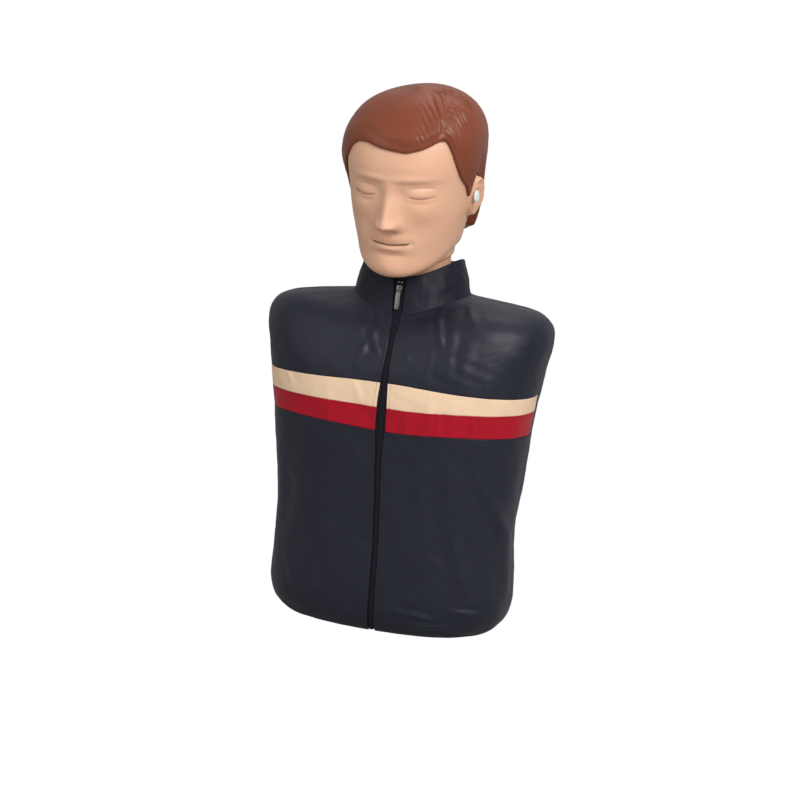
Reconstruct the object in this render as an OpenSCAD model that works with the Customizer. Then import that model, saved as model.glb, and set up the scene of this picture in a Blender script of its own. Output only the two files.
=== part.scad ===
// Half-body resuscitation training manikin in a zipped sleeveless jacket.
// Millimetres. +Z is up, the face and chest look along -Y, and the origin is the
// middle of the flat base that the manikin stands on.

/* [Torso widths] */
// Half-width of the torso where it meets the base
base_w = 120; // [110:1:128]
// Half-width where the rounded lower edge ends
hem_w = 159; // [150:1:164]
// Half-width at the waist
waist_w = 155; // [148:1:162]
// Half-width at the lower edge of the red stripe
rib_w = 166; // [157:1:170]
// Half-width at the upper edge of the cream stripe
chest_w = 174; // [164:1:177]
// Half-width at the ends of the shoulders
shoulder_w = 184; // [180:1:194]
// Half-width of the neck opening
neck_seam_w = 70; // [68:1:74]

/* [Torso depths] */
// Front of the base, measured from the middle
base_front = 70; // [62:1:76]
// Front of the belly
belly_front = 98; // [92:1:102]
// Front of the chest at the breastbone
chest_front = 109; // [104:1:114]
// Front of the neck opening
neck_seam_front = 64; // [62:1:68]
// Back of the base
base_back = 64; // [58:1:70]
// Back of the torso between the shoulder blades
chest_back = 93; // [90:1:98]
// Back of the neck opening
neck_seam_back = 74; // [72:1:80]

/* [Torso heights] */
// Height where the rounded lower edge ends
hem_z = 42; // [34:1:50]
// Height of the waist
waist_z = 130; // [110:1:150]
// Height of the lower edge of the red stripe
red_z = 266; // [260:1:270]
// Height of the seam between the two stripes
stripe_seam_z = 300; // [295:1:305]
// Height of the upper edge of the cream stripe
cream_z = 326; // [321:1:331]
// Height of the shoulder ends
shoulder_z = 384; // [378:1:388]
// Height of the neck opening at the sides
neck_seam_z = 428; // [424:1:434]
// How far the neck opening dips at the front
neck_dip = 23; // [16:1:26]

/* [Shells and cloth] */
// Wall of the chest skin
skin_wall = 3.2; // [2.4:0.1:3.4]
// Wall of the rigid back shell
shell_wall = 3.2; // [2.4:0.1:3.4]
// Gap between two pieces that are assembled face to face
seam_gap = 0.3; // [0.2:0.05:0.5]
// Space between the torso and the jacket
jacket_ease = 1.6; // [1.5:0.1:2.0]
// Thickness of the lined jacket cloth
cloth = 1.6; // [1.2:0.1:2.2]
// Thickness of the zip tapes
tape_t = 0.7; // [0.5:0.1:0.8]
// Half the width of zip that shows between the front edges
zip_half = 7.5; // [6:0.5:10]
// How far each zip tape reaches under the jacket front
tape_half = 14; // [12:0.5:16]
// Width of one row of zip teeth
tooth_row = 2.4; // [2:0.1:3]
// Height of the zip teeth above the tape
tooth_t = 1.5; // [1.2:0.1:1.8]
// Groove between the two rows of zip teeth
tooth_groove = 1; // [0.8:0.1:1.2]

/* [Collar] */
// Height of the stand-up collar at the sides
collar_h = 45; // [40:1:48]
// Height of the stand-up collar at the front
collar_front_h = 44; // [40:1:46]
// Half-width of the collar's upper edge
collar_w = 66; // [65:1:72]
// Thickness of the doubled collar cloth
collar_t = 2.6; // [2:0.1:3]

/* [Head placing] */
// Height of the hinge that lets the head tilt
hinge_z = 432; // [430:1:438]
// Distance of that hinge behind the middle of the torso
hinge_y = 5; // [3:1:8]
// Distance from the hinge up to the root of the head
neck_l = 55; // [54:1:60]
// Forward lean of the head at rest
head_lean = 16; // [13:0.5:18]
// Turn of the head at rest, towards its own right
head_turn = 4; // [0:1:8]
// Sideways tip of the head at rest, towards its own left
head_tip = 2.5; // [0:0.5:4]

/* [Head] */
// Half-width of the head above the ears
skull_w = 79; // [75:1:82]
// Half-width of the jaw at its corners
jaw_w = 63; // [60:1:66]
// Front of the forehead from the neck's axis
brow_front = 91; // [88:1:94]
// Front of the chin from the neck's axis
chin_front = 87; // [84:1:90]
// Back of the head from the neck's axis
skull_back = 101; // [97:1:105]
// Height of the crown above the root of the head
crown_z = 202; // [197:1:207]
// Height of the brow above the root of the head
brow_z = 110; // [107:1:113]
// Wall of the face skin and of the rear head shell
face_wall = 3.4; // [2.6:0.1:3.8]
// Radius of the neck
neck_r = 49; // [46:0.5:50]
// Wall of the neck skin
neck_wall = 3; // [2.4:0.1:4]
// Depth of the nose
nose_h = 25; // [20:1:28]
// How far the ears stand out
ear_h = 13; // [9:1:15]
// Thickness of the moulded hair
hair_t = 8; // [6.5:0.5:10]

/* [Neck joint] */
// Radius of the tilt pin
pin_r = 5; // [4:0.5:6]
// Radius of the swivel spindle
spindle_r = 10; // [8:0.5:12]
// Running clearance between a pin and its hole, on the radius
run_gap = 0.05; // [0.03:0.01:0.09]
// Thickness of the plates of the neck bracket
bracket_t = 5; // [4:0.5:6]

/* [Jaw] */
// Radius of the jaw's pivots
pivot_r = 3; // [2.5:0.25:3.5]
// Outer radius of the jaw's arch
jaw_arch_r = 41; // [39:0.5:42]
// Thickness of the jaw's plates
jaw_t = 4; // [3:0.5:4.5]
// Height of the jaw's pivots above the root of the head
pivot_z = 82; // [79:1:85]

/* [Chest spring] */
// Travel of the breastbone plate
press_travel = 50; // [40:1:52]
// Outer radius of the plunger
plunger_r = 24; // [23:0.5:26]
// Wall of the plunger and of its barrel
tube_wall = 4; // [3:0.5:5]
// Sliding clearance of the plunger, on the radius
slide_gap = 0.3; // [0.2:0.05:0.4]
// Height of the plunger's axis
press_z = 306; // [302:1:310]
// Radius of the spring wire
wire_r = 2.1; // [1.6:0.1:2.4]
// Turns of the spring
spring_turns = 6; // [5:1:7]

/* [Zip pull] */
// Length of the zip's pull tab
pull_l = 27; // [22:1:30]
// Width of the zip's pull tab
pull_w = 6; // [5:0.5:7]

/* [Hidden] */
$fn = 48;
base_t = 4;

// Each torso section: [height at the sides, at the front, at the back,
// half-width, front depth, back depth, squareness]
TORSO = [
    [0, 0, 0, base_w, base_front, base_back, 2.4],
    [hem_z * 0.24, hem_z * 0.24, hem_z * 0.24, (base_w + 2 * hem_w) / 3 - 1,
        (base_front + 2 * belly_front) / 3, (base_back + 2 * chest_back) / 3 - 5, 2.5],
    [hem_z, hem_z, hem_z, hem_w, belly_front, chest_back - 6, 2.6],
    [waist_z, waist_z, waist_z, waist_w, belly_front, chest_back - 5, 2.6],
    [(waist_z + red_z) / 2, (waist_z + red_z) / 2, (waist_z + red_z) / 2,
        (waist_w + rib_w) / 2, (belly_front + chest_front) / 2 - 3, chest_back - 4, 2.6],
    [red_z, red_z, red_z, rib_w, chest_front - 4, chest_back - 2, 2.7],
    [stripe_seam_z, stripe_seam_z, stripe_seam_z, (rib_w + chest_w) / 2,
        chest_front, chest_back - 1, 2.7],
    [cream_z, cream_z, cream_z + 3, chest_w, chest_front - 1, chest_back, 2.7],
    [(cream_z + shoulder_z) / 2, cream_z + 20, cream_z + 30,
        (chest_w + shoulder_w) / 2, chest_front - 5, chest_back, 2.7],
    [shoulder_z, shoulder_z - 19, shoulder_z + 3, shoulder_w, chest_front - 13,
        chest_back - 2, 2.7],
    [shoulder_z + 20, shoulder_z - 2, shoulder_z + 25, shoulder_w - 3,
        neck_seam_front + 24, chest_back - 7, 2.6],
    [neck_seam_z - 11, neck_seam_z - neck_dip - 13, neck_seam_z - 7, shoulder_w - 21,
        neck_seam_front + 15, chest_back - 12, 2.45],
    [neck_seam_z - 5, neck_seam_z - neck_dip - 6, neck_seam_z, neck_seam_w + 48,
        neck_seam_front + 7, neck_seam_back + 3, 2.3],
    [neck_seam_z, neck_seam_z - neck_dip, neck_seam_z + 6, neck_seam_w,
        neck_seam_front, neck_seam_back, 2.05]
];
V_HEM = 0.3;
V_BAND = 1.3;
V_RED = 5;
V_SEAM = 6;
V_CREAM = 7;
V_ARM_LOW = 7.1;
V_ARM_HIGH = 10.4;
V_NECK = 13;
V_TOP = 15;
// The jacket's sections are the torso's with the stand-up collar above them.
COLLAR_TOP = [neck_seam_z + collar_h, neck_seam_z - neck_dip + collar_front_h,
    neck_seam_z - 4 + collar_h, collar_w, neck_seam_front - 8, neck_seam_back - 4, 2.05];
JACKET = concat(TORSO, [(TORSO[V_NECK] + COLLAR_TOP) / 2, COLLAR_TOP]);
SIDE_SEAM = 90;
ARM_HALF = 19;
skew = 0.13;
aspect = 1.6;
// Rows of the upper body: the armhole's rows crowd at its two ends.
function arm_row(k) = mix(V_ARM_LOW, V_ARM_HIGH, (1 - cos(22.5 * k)) / 2);

// Each head section, in the head's own frame, in the same order as a torso section
HEAD = [
    [2, -8, 3, neck_r + 4.2, neck_r + 4.2, neck_r + 4.2, 2],
    [13, -10, 6, neck_r + 6, chin_front - 21, neck_r + 8, 2],
    [18, -12, 8, jaw_w - 3, chin_front - 8, neck_r + 11, 2.05],
    [28, -5, 16, jaw_w, chin_front, neck_r + 17, 2.1],
    [42, 14, 30, jaw_w + 3, chin_front, neck_r + 25, 2.15],
    [56, 34, 46, jaw_w + 6, chin_front + 1, skull_back - 17, 2.2],
    [70, 56, 64, skull_w - 6.5, chin_front + 1, skull_back - 9, 2.2],
    [brow_z - 16, brow_z - 16, brow_z - 16, skull_w - 3.5, brow_front - 2,
        skull_back - 2, 2.2],
    [brow_z, brow_z, brow_z, skull_w - 2, brow_front, skull_back, 2.2],
    [brow_z + 24, brow_z + 24, brow_z + 24, skull_w, brow_front - 1, skull_back, 2.2],
    [crown_z - 42, crown_z - 42, crown_z - 42, skull_w - 3, brow_front - 12,
        skull_back - 6, 2.2],
    [crown_z - 20, crown_z - 20, crown_z - 20, skull_w - 16, brow_front - 33,
        skull_back - 23, 2.1],
    [crown_z - 6, crown_z - 6, crown_z - 6, skull_w - 39, brow_front - 57,
        skull_back - 51, 2],
    [crown_z, crown_z, crown_z, 6, 5, 8, 2]
];
V_CROWN = 13;
FACE_EDGE = 112;
V_FACE_TOP = 10.4;

// The hairline: [bearing from the face, section number], round the head
HAIRLINE = [[-180, 2.4], [-150, 2.5], [-134, 3.3], [-121, 3.6], [-115, 5.4],
    [-108, 7.3], [-97, 8.0], [-89, 7.9], [-84, 6.9], [-80, 6.25], [-76, 6.6],
    [-70, 7.3], [-61, 8.1], [-51, 8.9], [-44, 9.5], [-37, 9.75], [-25, 9.7], [-8, 9.6],
    [13, 9.5], [26, 9.7], [38, 10], [43, 9.95], [48, 9.3], [54, 8.6], [61, 8.1],
    [70, 7.3], [76, 6.6], [80, 6.25], [84, 6.9], [89, 7.9], [97, 8.0], [108, 7.3],
    [115, 5.4], [121, 3.6], [134, 3.3], [150, 2.5], [180, 2.4]];

// Creases of the jacket: [x and z of one end, x and z of the other, width, height]
FOLDS = [
    [72, 392, 84, 338, 7, 2.6], [104, 386, 100, 330, 9, 1.8],
    [58, 372, 50, 330, 6, 1.8], [-26, 372, -36, 322, 7, 2.6],
    [-52, 396, -22, 352, 9, 2.2], [128, 210, 78, 60, 9, 2.4],
    [96, 150, 134, 44, 8, 2.2], [30, 36, 88, 28, 5, 2],
    [52, 20, 110, 24, 4, 1.6], [-104, 250, -112, 120, 12, 1.6],
    [-60, 210, -48, 60, 12, 1.2], [-140, 226, -148, 90, 10, 1.6]
];

// Small helpers
function clamp(x, lo, hi) = min(max(x, lo), hi);
function smooth(x, lo, hi) = let (t = clamp((x - lo) / (hi - lo), 0, 1)) t * t * (3 - 2 * t);
function bell(x, mid, width) = exp(-pow((x - mid) / width, 2));
function total(list) = list * [for (x = list) 1];
function unit(v) = v / norm(v);

// A section between two listed ones, on a smooth curve through them
function section(table, v, smooth_to) =
    let (k = clamp(floor(v), 0, len(table) - 2), t = v - k, b = table[k], c = table[k + 1])
    v >= smooth_to ? b + (c - b) * t :
    let (a = k > 0 ? table[k - 1] : 2 * b - c, d = k + 2 <= smooth_to ? table[k + 2] : 2 * c - b)
    0.5 * (2 * b + (c - a) * t + (2 * a - 5 * b + 4 * c - d) * t * t
        + (3 * b - a - 3 * c + d) * t * t * t);

// The point at bearing a, counted from the front towards +X, on section v
function ring(table, a, v, smooth_to) =
    let (s = section(table, v, smooth_to), c = cos(a), depth = c > 0 ? s[4] : s[5],
        r = pow(pow(abs(sin(a)) / s[3], s[6]) + pow(abs(c) / depth, s[6]), -1 / s[6]))
    [r * sin(a), -r * c, s[0] + (c > 0 ? s[1] - s[0] : s[2] - s[0]) * c * c];

// The outward direction of a surface of two numbers at (a, v), kept inside lo and hi
function outward(f, a, v, lo, hi) =
    let (e = 0.03, m = clamp(v, lo + e, hi - e))
    unit(cross(f(a + 0.6, m) - f(a - 0.6, m), f(a, m + e) - f(a, m - e)));

// Surfaces, each moved outwards by t
function torso(a, v, t) =
    let (f = function (a, v) ring(TORSO, a, v, V_NECK))
    f(a, v) + t * outward(f, a, v, 0, V_NECK);

function crease(p) = p[1] > 0 ? 0 : total([for (f = FOLDS)
    let (a = [f[0], f[1]], d = [f[2], f[3]] - a, q = [p[0], p[2]] - a,
        s = clamp(q * d / (d * d), 0, 1))
    f[5] * bell(norm(q - s * d), 0, f[4]) * (0.45 + 0.55 * sin(180 * s))]);

function jacket(a, v, t, lo, hi) =
    let (f = function (a, v) ring(JACKET, a, v - skew * sin(a) * bell(v, 6, 2.2), V_NECK),
        p = f(a, v), calm = 1 - smooth(v, V_NECK - 1, V_NECK))
    p + (t + calm * crease(p) * smooth(abs(p[0]), zip_half, zip_half + 16))
        * outward(f, a, v, lo, hi);

// Forward relief of the face at x and z in the head's frame
function relief(x, z) =
    let (side = abs(x), up = clamp((z - 56) / 44, 0, 1))
    nose_h * pow(1 - up, 1.15) * smooth(z, 46, 58) * bell(side, 0, 11 - 4 * up)
    + 2.5 * up * bell(side, 0, 8) * (1 - smooth(z, 96, 116))
    + 7 * bell(side, 12, 6.5) * bell(z, 57, 7)
    + 1.3 * bell(z, 112, 4.5) * bell(side, 26, 24)
    - 4.5 * bell(side, 31, 16) * bell(z, 97, 12)
    - 3 * bell(side, 14, 7) * bell(z, 96, 10)
    + 4.6 * bell(side, 33, 13) * bell(z, 95, 6.5)
    - 1.3 * bell(z, 89 + 0.008 * pow(side - 33, 2), 1.8) * (1 - smooth(abs(side - 33), 11, 16))
    + 3.5 * bell(side, 47, 17) * bell(z, 72, 15)
    - 2 * bell(side, 30, 9) * bell(z, 50, 14)
    + 4.6 * bell(side, 0, 20) * bell(z, 39, 6.5) - 1.2 * bell(side, 0, 3.5) * bell(z, 44, 5)
    - 4.4 * bell(z, 33 + 0.003 * side * side, 1.7) * (1 - smooth(side, 20, 27))
    + 4.8 * bell(side, 0, 17) * bell(z, 27, 5)
    - 2.4 * bell(side, 0, 19) * bell(z, 17, 5)
    + 4.5 * bell(side, 0, 17) * bell(z, 2, 12);

// Sideways relief of the ears at y and z in the head's frame
function ear(y, z) =
    let (u = (y - 6 + 0.12 * (z - 80)) / 15, w = (z - 77) / 25, e = norm([u, w]))
    ear_h * (0.35 + 0.32 * (u + 1)) * (1 - smooth(e, 0.84, 1.06))
        * (1 - 0.5 * bell(norm([u + 0.1, w + 0.05]), 0, 0.5));

function head(a, v, t) =
    let (f = function (a, v) ring(HEAD, a, v, V_CROWN), p = f(a, v),
        n = outward(f, a, v, 0, V_CROWN), face = 1 - smooth(abs(a), 62, 80))
    p + t * n + [ear_push(a, p), -face * relief(p[0], p[2]), 0];

function ear_push(a, p) = smooth(abs(a), 70, 80) * (1 - smooth(abs(a), 106, 110))
    * sign(sin(a)) * ear(p[1], p[2]);

function hairline(a) = let (i = [for (k = [0:len(HAIRLINE) - 2]) if (a <= HAIRLINE[k + 1][0]) k][0],
    b = HAIRLINE[i], c = HAIRLINE[i + 1]) b[1] + (c[1] - b[1]) * (a - b[0]) / (c[0] - b[0]);

function bare_head(a, v, t) =
    let (f = function (a, v) ring(HEAD, a, v, V_CROWN))
    f(a, v) + t * outward(f, a, v, 0, V_CROWN);

// A sheet of two faces. outer(i, j) and inner(i, j) take shares from 0 to 1, i to the
// viewer's right and j upwards; coarse is how many outer steps one inner step spans.
module sheet(outer, inner, nu, nv, coarse = 1) {
    mu = nu / coarse;
    mv = nv / coarse;
    outs = [for (j = [0:nv]) for (i = [0:nu]) outer(i / nu, j / nv)];
    ins = [for (j = [0:mv]) for (i = [0:mu]) inner(i / mu, j / mv)];
    o = function (i, j) j * (nu + 1) + i;
    n = function (i, j) len(outs) + j * (mu + 1) + i;
    faces = concat(
        [for (j = [0:nv - 1]) for (i = [0:nu - 1]) each [[o(i, j), o(i, j + 1), o(i + 1, j + 1)],
            [o(i, j), o(i + 1, j + 1), o(i + 1, j)]]],
        [for (j = [0:mv - 1]) for (i = [0:mu - 1]) each [[n(i, j), n(i + 1, j + 1), n(i, j + 1)],
            [n(i, j), n(i + 1, j), n(i + 1, j + 1)]]],
        rim(nu, mu, coarse, function (k) o(k, 0), function (k) n(k, 0)),
        rim(nv, mv, coarse, function (k) o(nu, k), function (k) n(mu, k)),
        rim(nu, mu, coarse, function (k) o(nu - k, nv), function (k) n(mu - k, mv)),
        rim(nv, mv, coarse, function (k) o(0, nv - k), function (k) n(0, mv - k)));
    polyhedron(concat(outs, ins), faces, convexity = 6);
}

// The strip of triangles between an outer edge and the inner edge beside it
function rim(count, few, coarse, o, n) = concat(
    [for (k = [0:count - 1]) [o(k), o(k + 1), n(floor(k / coarse))]],
    [for (k = [0:few - 1]) [o((k + 1) * coarse), n(k + 1), n(k)]]);

// A domed sheet that closes round the head: f(i, j, k) with k = 1 outside and 0 inside
module dome(f, nu, nv) {
    side = function (k) [for (j = [0:nv - 1]) for (i = [0:nu - 1]) f(i / nu, j / nv, k)];
    each_n = nu * nv;
    points = concat(side(1), side(0), [f(0, 1, 1), f(0, 1, 0)]);
    o = function (i, j) j * nu + i % nu;
    n = function (i, j) each_n + j * nu + i % nu;
    faces = concat(
        [for (j = [0:nv - 2]) for (i = [0:nu - 1]) each [[o(i, j), o(i, j + 1), o(i + 1, j + 1)],
            [o(i, j), o(i + 1, j + 1), o(i + 1, j)],
            [n(i, j), n(i + 1, j + 1), n(i, j + 1)], [n(i, j), n(i + 1, j), n(i + 1, j + 1)]]],
        [for (i = [0:nu - 1]) each [[o(i, nv - 1), 2 * each_n, o(i + 1, nv - 1)],
            [n(i, nv - 1), n(i + 1, nv - 1), 2 * each_n + 1],
            [o(i, 0), o(i + 1, 0), n(i, 0)], [o(i + 1, 0), n(i + 1, 0), n(i, 0)]]]);
    polyhedron(points, faces, convexity = 6);
}

function mix(a, b, t) = a + (b - a) * t;

// A panel of the jacket: at(i, v) is the bearing at share i of section v.
module panel(at, lo, hi, nu, nv, in_t = jacket_ease, out_t = jacket_ease + cloth, rows = []) {
    place = function (i, j, t) let (v = len(rows) == 0 ? mix(lo, hi, j) : rows[round(j * nv)])
        jacket(at(i, v), v, t, lo, hi);
    sheet(function (i, j) place(i, j, out_t), function (i, j) place(i, j, in_t), nu, nv);
}

// Bearing at share i of the way from a0 to a1, with steps of about one length
function unturn(a) = atan2(sin(a), aspect * cos(a));
function along(a0, a1, i) =
    let (t = mix(unturn(a0), unturn(a1), i)) atan2(aspect * sin(t), cos(t));

// Bearing at which the front is x away from the middle, on section v
function bearing(x, v) = atan(x / section(JACKET, v, V_NECK)[4]);
function arm_edge(v) = lookup(v, [for (k = [0:8]) [arm_row(k),
    ARM_HALF * pow(max(0, sin(90 * (1 - cos(22.5 * k)))), 0.62)]]);
function front_at(i, v) = along(bearing(zip_half, v), SIDE_SEAM - 0.12, i) - arm_edge(v) * pow(i, 4);
function back_at(i, v) = 180 + along(0.12 - SIDE_SEAM, SIDE_SEAM - 0.12, i)
    + arm_edge(v) * (pow(1 - i, 4) - pow(i, 4));
function arm_at(i, v) = SIDE_SEAM + (2 * i - 1) * max(0, arm_edge(v) - 0.7);
function round_at(i, v) = let (b = bearing(zip_half, v)) mix(b, 360 - b, i);

module mirrored() {
    mirror([1, 0, 0]) children();
}

module turned() {
    translate([0, hinge_y, hinge_z]) rotate([0, 0, -head_turn]) children();
}

module on_neck() {
    turned() rotate([head_lean, 0, 0]) translate([0, 0, neck_l]) children();
}

module in_head() {
    on_neck() rotate([0, head_tip, 0]) children();
}

module along_y(y, r, l, fn = 48) {
    translate([0, y, 0]) rotate([-90, 0, 0]) cylinder(r = r, h = l, $fn = fn);
}

module along_x(x, r, l) {
    translate([x, 0, 0]) rotate([0, 90, 0]) cylinder(r = r, h = l);
}

// Torso: the two shells meet at the side seams
skin_cols = 18;
skin_rows = 26;
function skin_a(k) = along(0.2 - SIDE_SEAM, SIDE_SEAM - 0.2, k / skin_cols);
function skin_v(k) = V_NECK * k / skin_rows;

module base_plate() {
    inset = -skin_wall - seam_gap - 0.4;
    round_it = concat([for (k = [0:skin_cols]) torso(skin_a(k), 0, inset)],
        [for (k = [0:skin_cols]) torso(180 + skin_a(k), 0, inset)]);
    color("gainsboro") difference() {
        linear_extrude(base_t) polygon([for (q = round_it) [q[0], q[1]]]);
        translate([0, 0, base_t - 1.5]) linear_extrude(base_t) square([150, 70], center = true);
    }
}

// A piece of shell col columns in from the seams, count rows high above row
module shell_piece(turn, col, row, count, out_t, in_t) {
    cols = skin_cols - 2 * col;
    place = function (i, j, t) torso(turn + skin_a(col + i * cols), skin_v(row + j * count), t);
    sheet(function (i, j) place(i, j, out_t), function (i, j) place(i, j, in_t), cols, count);
}

module back_shell() {
    color("gainsboro") shell_piece(180, 0, 0, skin_rows, 0, -shell_wall);
}

module chest_skin() {
    color("burlywood") shell_piece(0, 0, 0, skin_rows, 0, -skin_wall);
}

// Neck bracket, with the hole that the swivel spindle turns in
shelf_z = hinge_z - 34;
leg_y = 76;
bracket_w = 34;
leg_low = shelf_z - 60;
boss_reach = chest_back - shell_wall - 2.4 - leg_y - bracket_t;
screw_places = [[-22, 20], [22, 20], [-22, 43], [22, 43]];
screw_r = 2.5;
head_r = 4.5;
head_t = 3;

module neck_bracket() {
    color("dimgray") difference() {
        union() {
            translate([-bracket_w, -26, shelf_z - bracket_t])
                cube([2 * bracket_w, leg_y + bracket_t + 26, bracket_t]);
            translate([-bracket_w, leg_y, leg_low]) cube([2 * bracket_w, bracket_t, shelf_z - leg_low]);
            for (x = [-bracket_w, bracket_w - bracket_t]) translate([x, 0, 0]) rotate([90, 0, 90])
                linear_extrude(bracket_t) polygon([[-20, shelf_z - 1], [leg_y + 1, shelf_z - 1],
                    [leg_y + 1, leg_low + 6], [leg_y - 12, leg_low + 6], [-20, shelf_z - 14]]);
            for (p = screw_places) translate([p[0], 0, leg_low + p[1]])
                along_y(leg_y + bracket_t - 1, 6, boss_reach + 1);
        }
        translate([0, hinge_y, shelf_z - 2 * bracket_t]) cylinder(r = spindle_r + run_gap, h = 4 * bracket_t);
        for (p = screw_places) translate([p[0], 0, leg_low + p[1]]) along_y(0, screw_r + seam_gap, 200);
    }
}

module screw_along_y(y, l) {
    along_y(y - head_t, head_r, head_t);
    along_y(y - 0.01, screw_r, l);
}

module bracket_screws() {
    color("silver") for (p = screw_places) translate([p[0], 0, leg_low + p[1]])
        screw_along_y(leg_y, bracket_t + boss_reach);
}

// Spring barrel on the back shell, with the plunger sliding in it
barrel_r = plunger_r + slide_gap + 1.7;
barrel_floor = 82;
flange_y = chest_back - shell_wall - 3.2;
barrel_mouth = -10;
lip_t = 3.6;
flange_r = 44;
barrel_screw_r = 38;

module spring_barrel() {
    color("dimgray") translate([0, 0, press_z]) difference() {
        union() {
            along_y(barrel_mouth, barrel_r + tube_wall, flange_y - barrel_mouth);
            along_y(barrel_floor, flange_r, flange_y - barrel_floor);
        }
        along_y(barrel_mouth + lip_t, barrel_r, barrel_floor - barrel_mouth - lip_t);
        along_y(barrel_mouth - 1, plunger_r + slide_gap, lip_t + 2);
        for (t = [45:90:315]) rotate([0, t, 0]) translate([barrel_screw_r, 0, 0])
            along_y(barrel_floor - 1, screw_r + seam_gap, 20);
    }
}

module barrel_screws() {
    color("silver") translate([0, 0, press_z]) for (t = [45:90:315]) rotate([0, t, 0])
        translate([barrel_screw_r, 0, 0]) screw_along_y(barrel_floor, flange_y - barrel_floor);
}

plate_gap = skin_wall + 2.8;
plate_t = 3.5;
plunger_front = -chest_front + plate_gap + plate_t + 5.6;
plate_screw_r = plunger_r + 5.5;
seat_y = -40;
plunger_back = 18;
collar_back = 0;
spring_l = barrel_floor - seat_y - 4;

module plunger() {
    color("white") translate([0, 0, press_z]) {
        difference() {
            union() {
                along_y(plunger_front, plunger_r, plunger_back - plunger_front);
                along_y(plunger_front, plunger_r + 10, 4);
                along_y(barrel_mouth + lip_t + seam_gap, barrel_r - slide_gap,
                    collar_back - barrel_mouth - lip_t);
            }
            along_y(seat_y + 4, plunger_r - tube_wall, 200);
            along_y(plunger_front + 4, plunger_r - tube_wall, seat_y - plunger_front - 4);
            for (t = [0:90:270]) rotate([0, t, 0]) translate([plate_screw_r, 0, 0])
                along_y(plunger_front - 1, screw_r + seam_gap, 10);
        }
        along_y(seat_y + 3.9, 4, barrel_floor - seat_y - 3.9 - press_travel - 4);
    }
}

module compression_spring() {
    turns = spring_turns;
    steps = 13;
    sides = 6;
    mid_r = plunger_r - tube_wall - wire_r - 1;
    rise = (spring_l - 2 * wire_r - 1) / turns;
    rings = [for (k = [0:turns * steps]) let (t = 360 * k / steps,
            y = seat_y + 4.5 + wire_r + rise * k / steps)
        [for (s = [0:sides - 1]) let (r = mid_r + wire_r * cos(360 * s / sides))
            [r * cos(t), y + wire_r * sin(360 * s / sides), r * sin(t)]]];
    points = [for (r = rings) each r];
    last = len(rings) - 1;
    color("silver") translate([0, 0, press_z]) polyhedron(points, concat(
        [[for (s = [0:sides - 1]) s]],
        [for (k = [0:last - 1]) for (s = [0:sides - 1])
            let (a = k * sides + s, b = k * sides + (s + 1) % sides)
            each [[a, a + sides, b + sides], [a, b + sides, b]]],
        [[for (s = [sides - 1:-1:0]) last * sides + s]]), convexity = 12);
}

module click_dome() {
    dome_r = 13;
    dome_h = 3;
    color("silver") translate([0, barrel_floor - 0.1, press_z]) rotate([90, 0, 0]) difference() {
        cylinder(r1 = dome_r, r2 = dome_r - 7, h = dome_h);
        translate([0, 0, -0.1]) cylinder(r1 = dome_r - 0.8, r2 = dome_r - 8, h = dome_h - 0.7);
    }
}

module chest_plate() {
    color("white") difference() {
        union() {
            shell_piece(0, 4, 10, 6, -plate_gap, -plate_gap - plate_t);
            translate([0, 0, press_z]) along_y(-chest_front + plate_gap + 3.9, plunger_r + 10,
                plunger_front + chest_front - plate_gap - 3.9);
        }
        translate([0, 0, press_z]) for (t = [0:90:270]) rotate([0, t, 0])
            translate([plate_screw_r, 0, 0]) along_y(plunger_front - 4.2, screw_r + 0.02, 10);
    }
}

module plate_screws() {
    color("silver") translate([0, 0, press_z]) for (t = [0:90:270]) rotate([0, t, 0])
        translate([plate_screw_r, 0, 0]) {
            along_y(plunger_front - 4, screw_r, 8.01);
            along_y(plunger_front + 4, 4, 2.5);
        }
}

module lung_bag() {
    color("lightblue") shell_piece(0, 5, 10, 6, -skin_wall - 0.3, -skin_wall - 2.5);
}

// A hose of radius r along points p
module hose(p, r, sides = 8) {
    function turn(k) = unit(p[min(k + 1, len(p) - 1)] - p[max(k - 1, 0)]);
    points = [for (k = [0:len(p) - 1]) let (d = turn(k), u = [1, 0, 0], w = cross(d, u))
        for (s = [0:sides - 1]) p[k] + r * (u * cos(360 * s / sides) + unit(w) * sin(360 * s / sides))];
    last = len(p) - 1;
    polyhedron(points, concat(
        [[for (s = [0:sides - 1]) s]],
        [for (k = [0:last - 1]) for (s = [0:sides - 1])
            let (a = k * sides + s, b = k * sides + (s + 1) % sides)
            each [[a, a + sides, b + sides], [a, b + sides, b]]],
        [[for (s = [sides - 1:-1:0]) last * sides + s]]), convexity = 6);
}

hose_r = 7;
HOSE = [[0, -92.4, 346], [0, -91.2, 352], [0, -82, 366], [0, -66, 378], [0, -53, 390],
    [0, -37, 404], [0, -32, 420], [0, -31, 436]];
module airway_hose() {
    color("lightblue") hose(HOSE, hose_r);
}

// Neck post: spindle in the bracket, block with the tilt pin's hole
block_w = 15;
cheek_t = 6;
clip_t = 1.6;
module neck_post() {
    color("white") turned() difference() {
        union() {
            translate([0, 0, shelf_z - hinge_z - bracket_t - 6]) cylinder(r = spindle_r, h = 12 + bracket_t);
            translate([0, 0, shelf_z - hinge_z + seam_gap]) cylinder(r = spindle_r + 6, h = 4);
            translate([-block_w, -12, shelf_z - hinge_z + 4]) cube([2 * block_w, 24, hinge_z - shelf_z - 4]);
            along_x(-block_w, 12, 2 * block_w);
        }
        along_x(-block_w - 1, pin_r + run_gap, 2 * block_w + 2);
        translate([0, 0, shelf_z - hinge_z - bracket_t - 3]) rotate_extrude()
            translate([spindle_r - 1.5, 0]) square([4, clip_t + 0.2]);
    }
}

module post_clip() {
    color("silver") translate([0, hinge_y, shelf_z - bracket_t - 2.9]) rotate_extrude()
        translate([spindle_r - 1.4, 0]) square([4.4, clip_t]);
}

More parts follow.
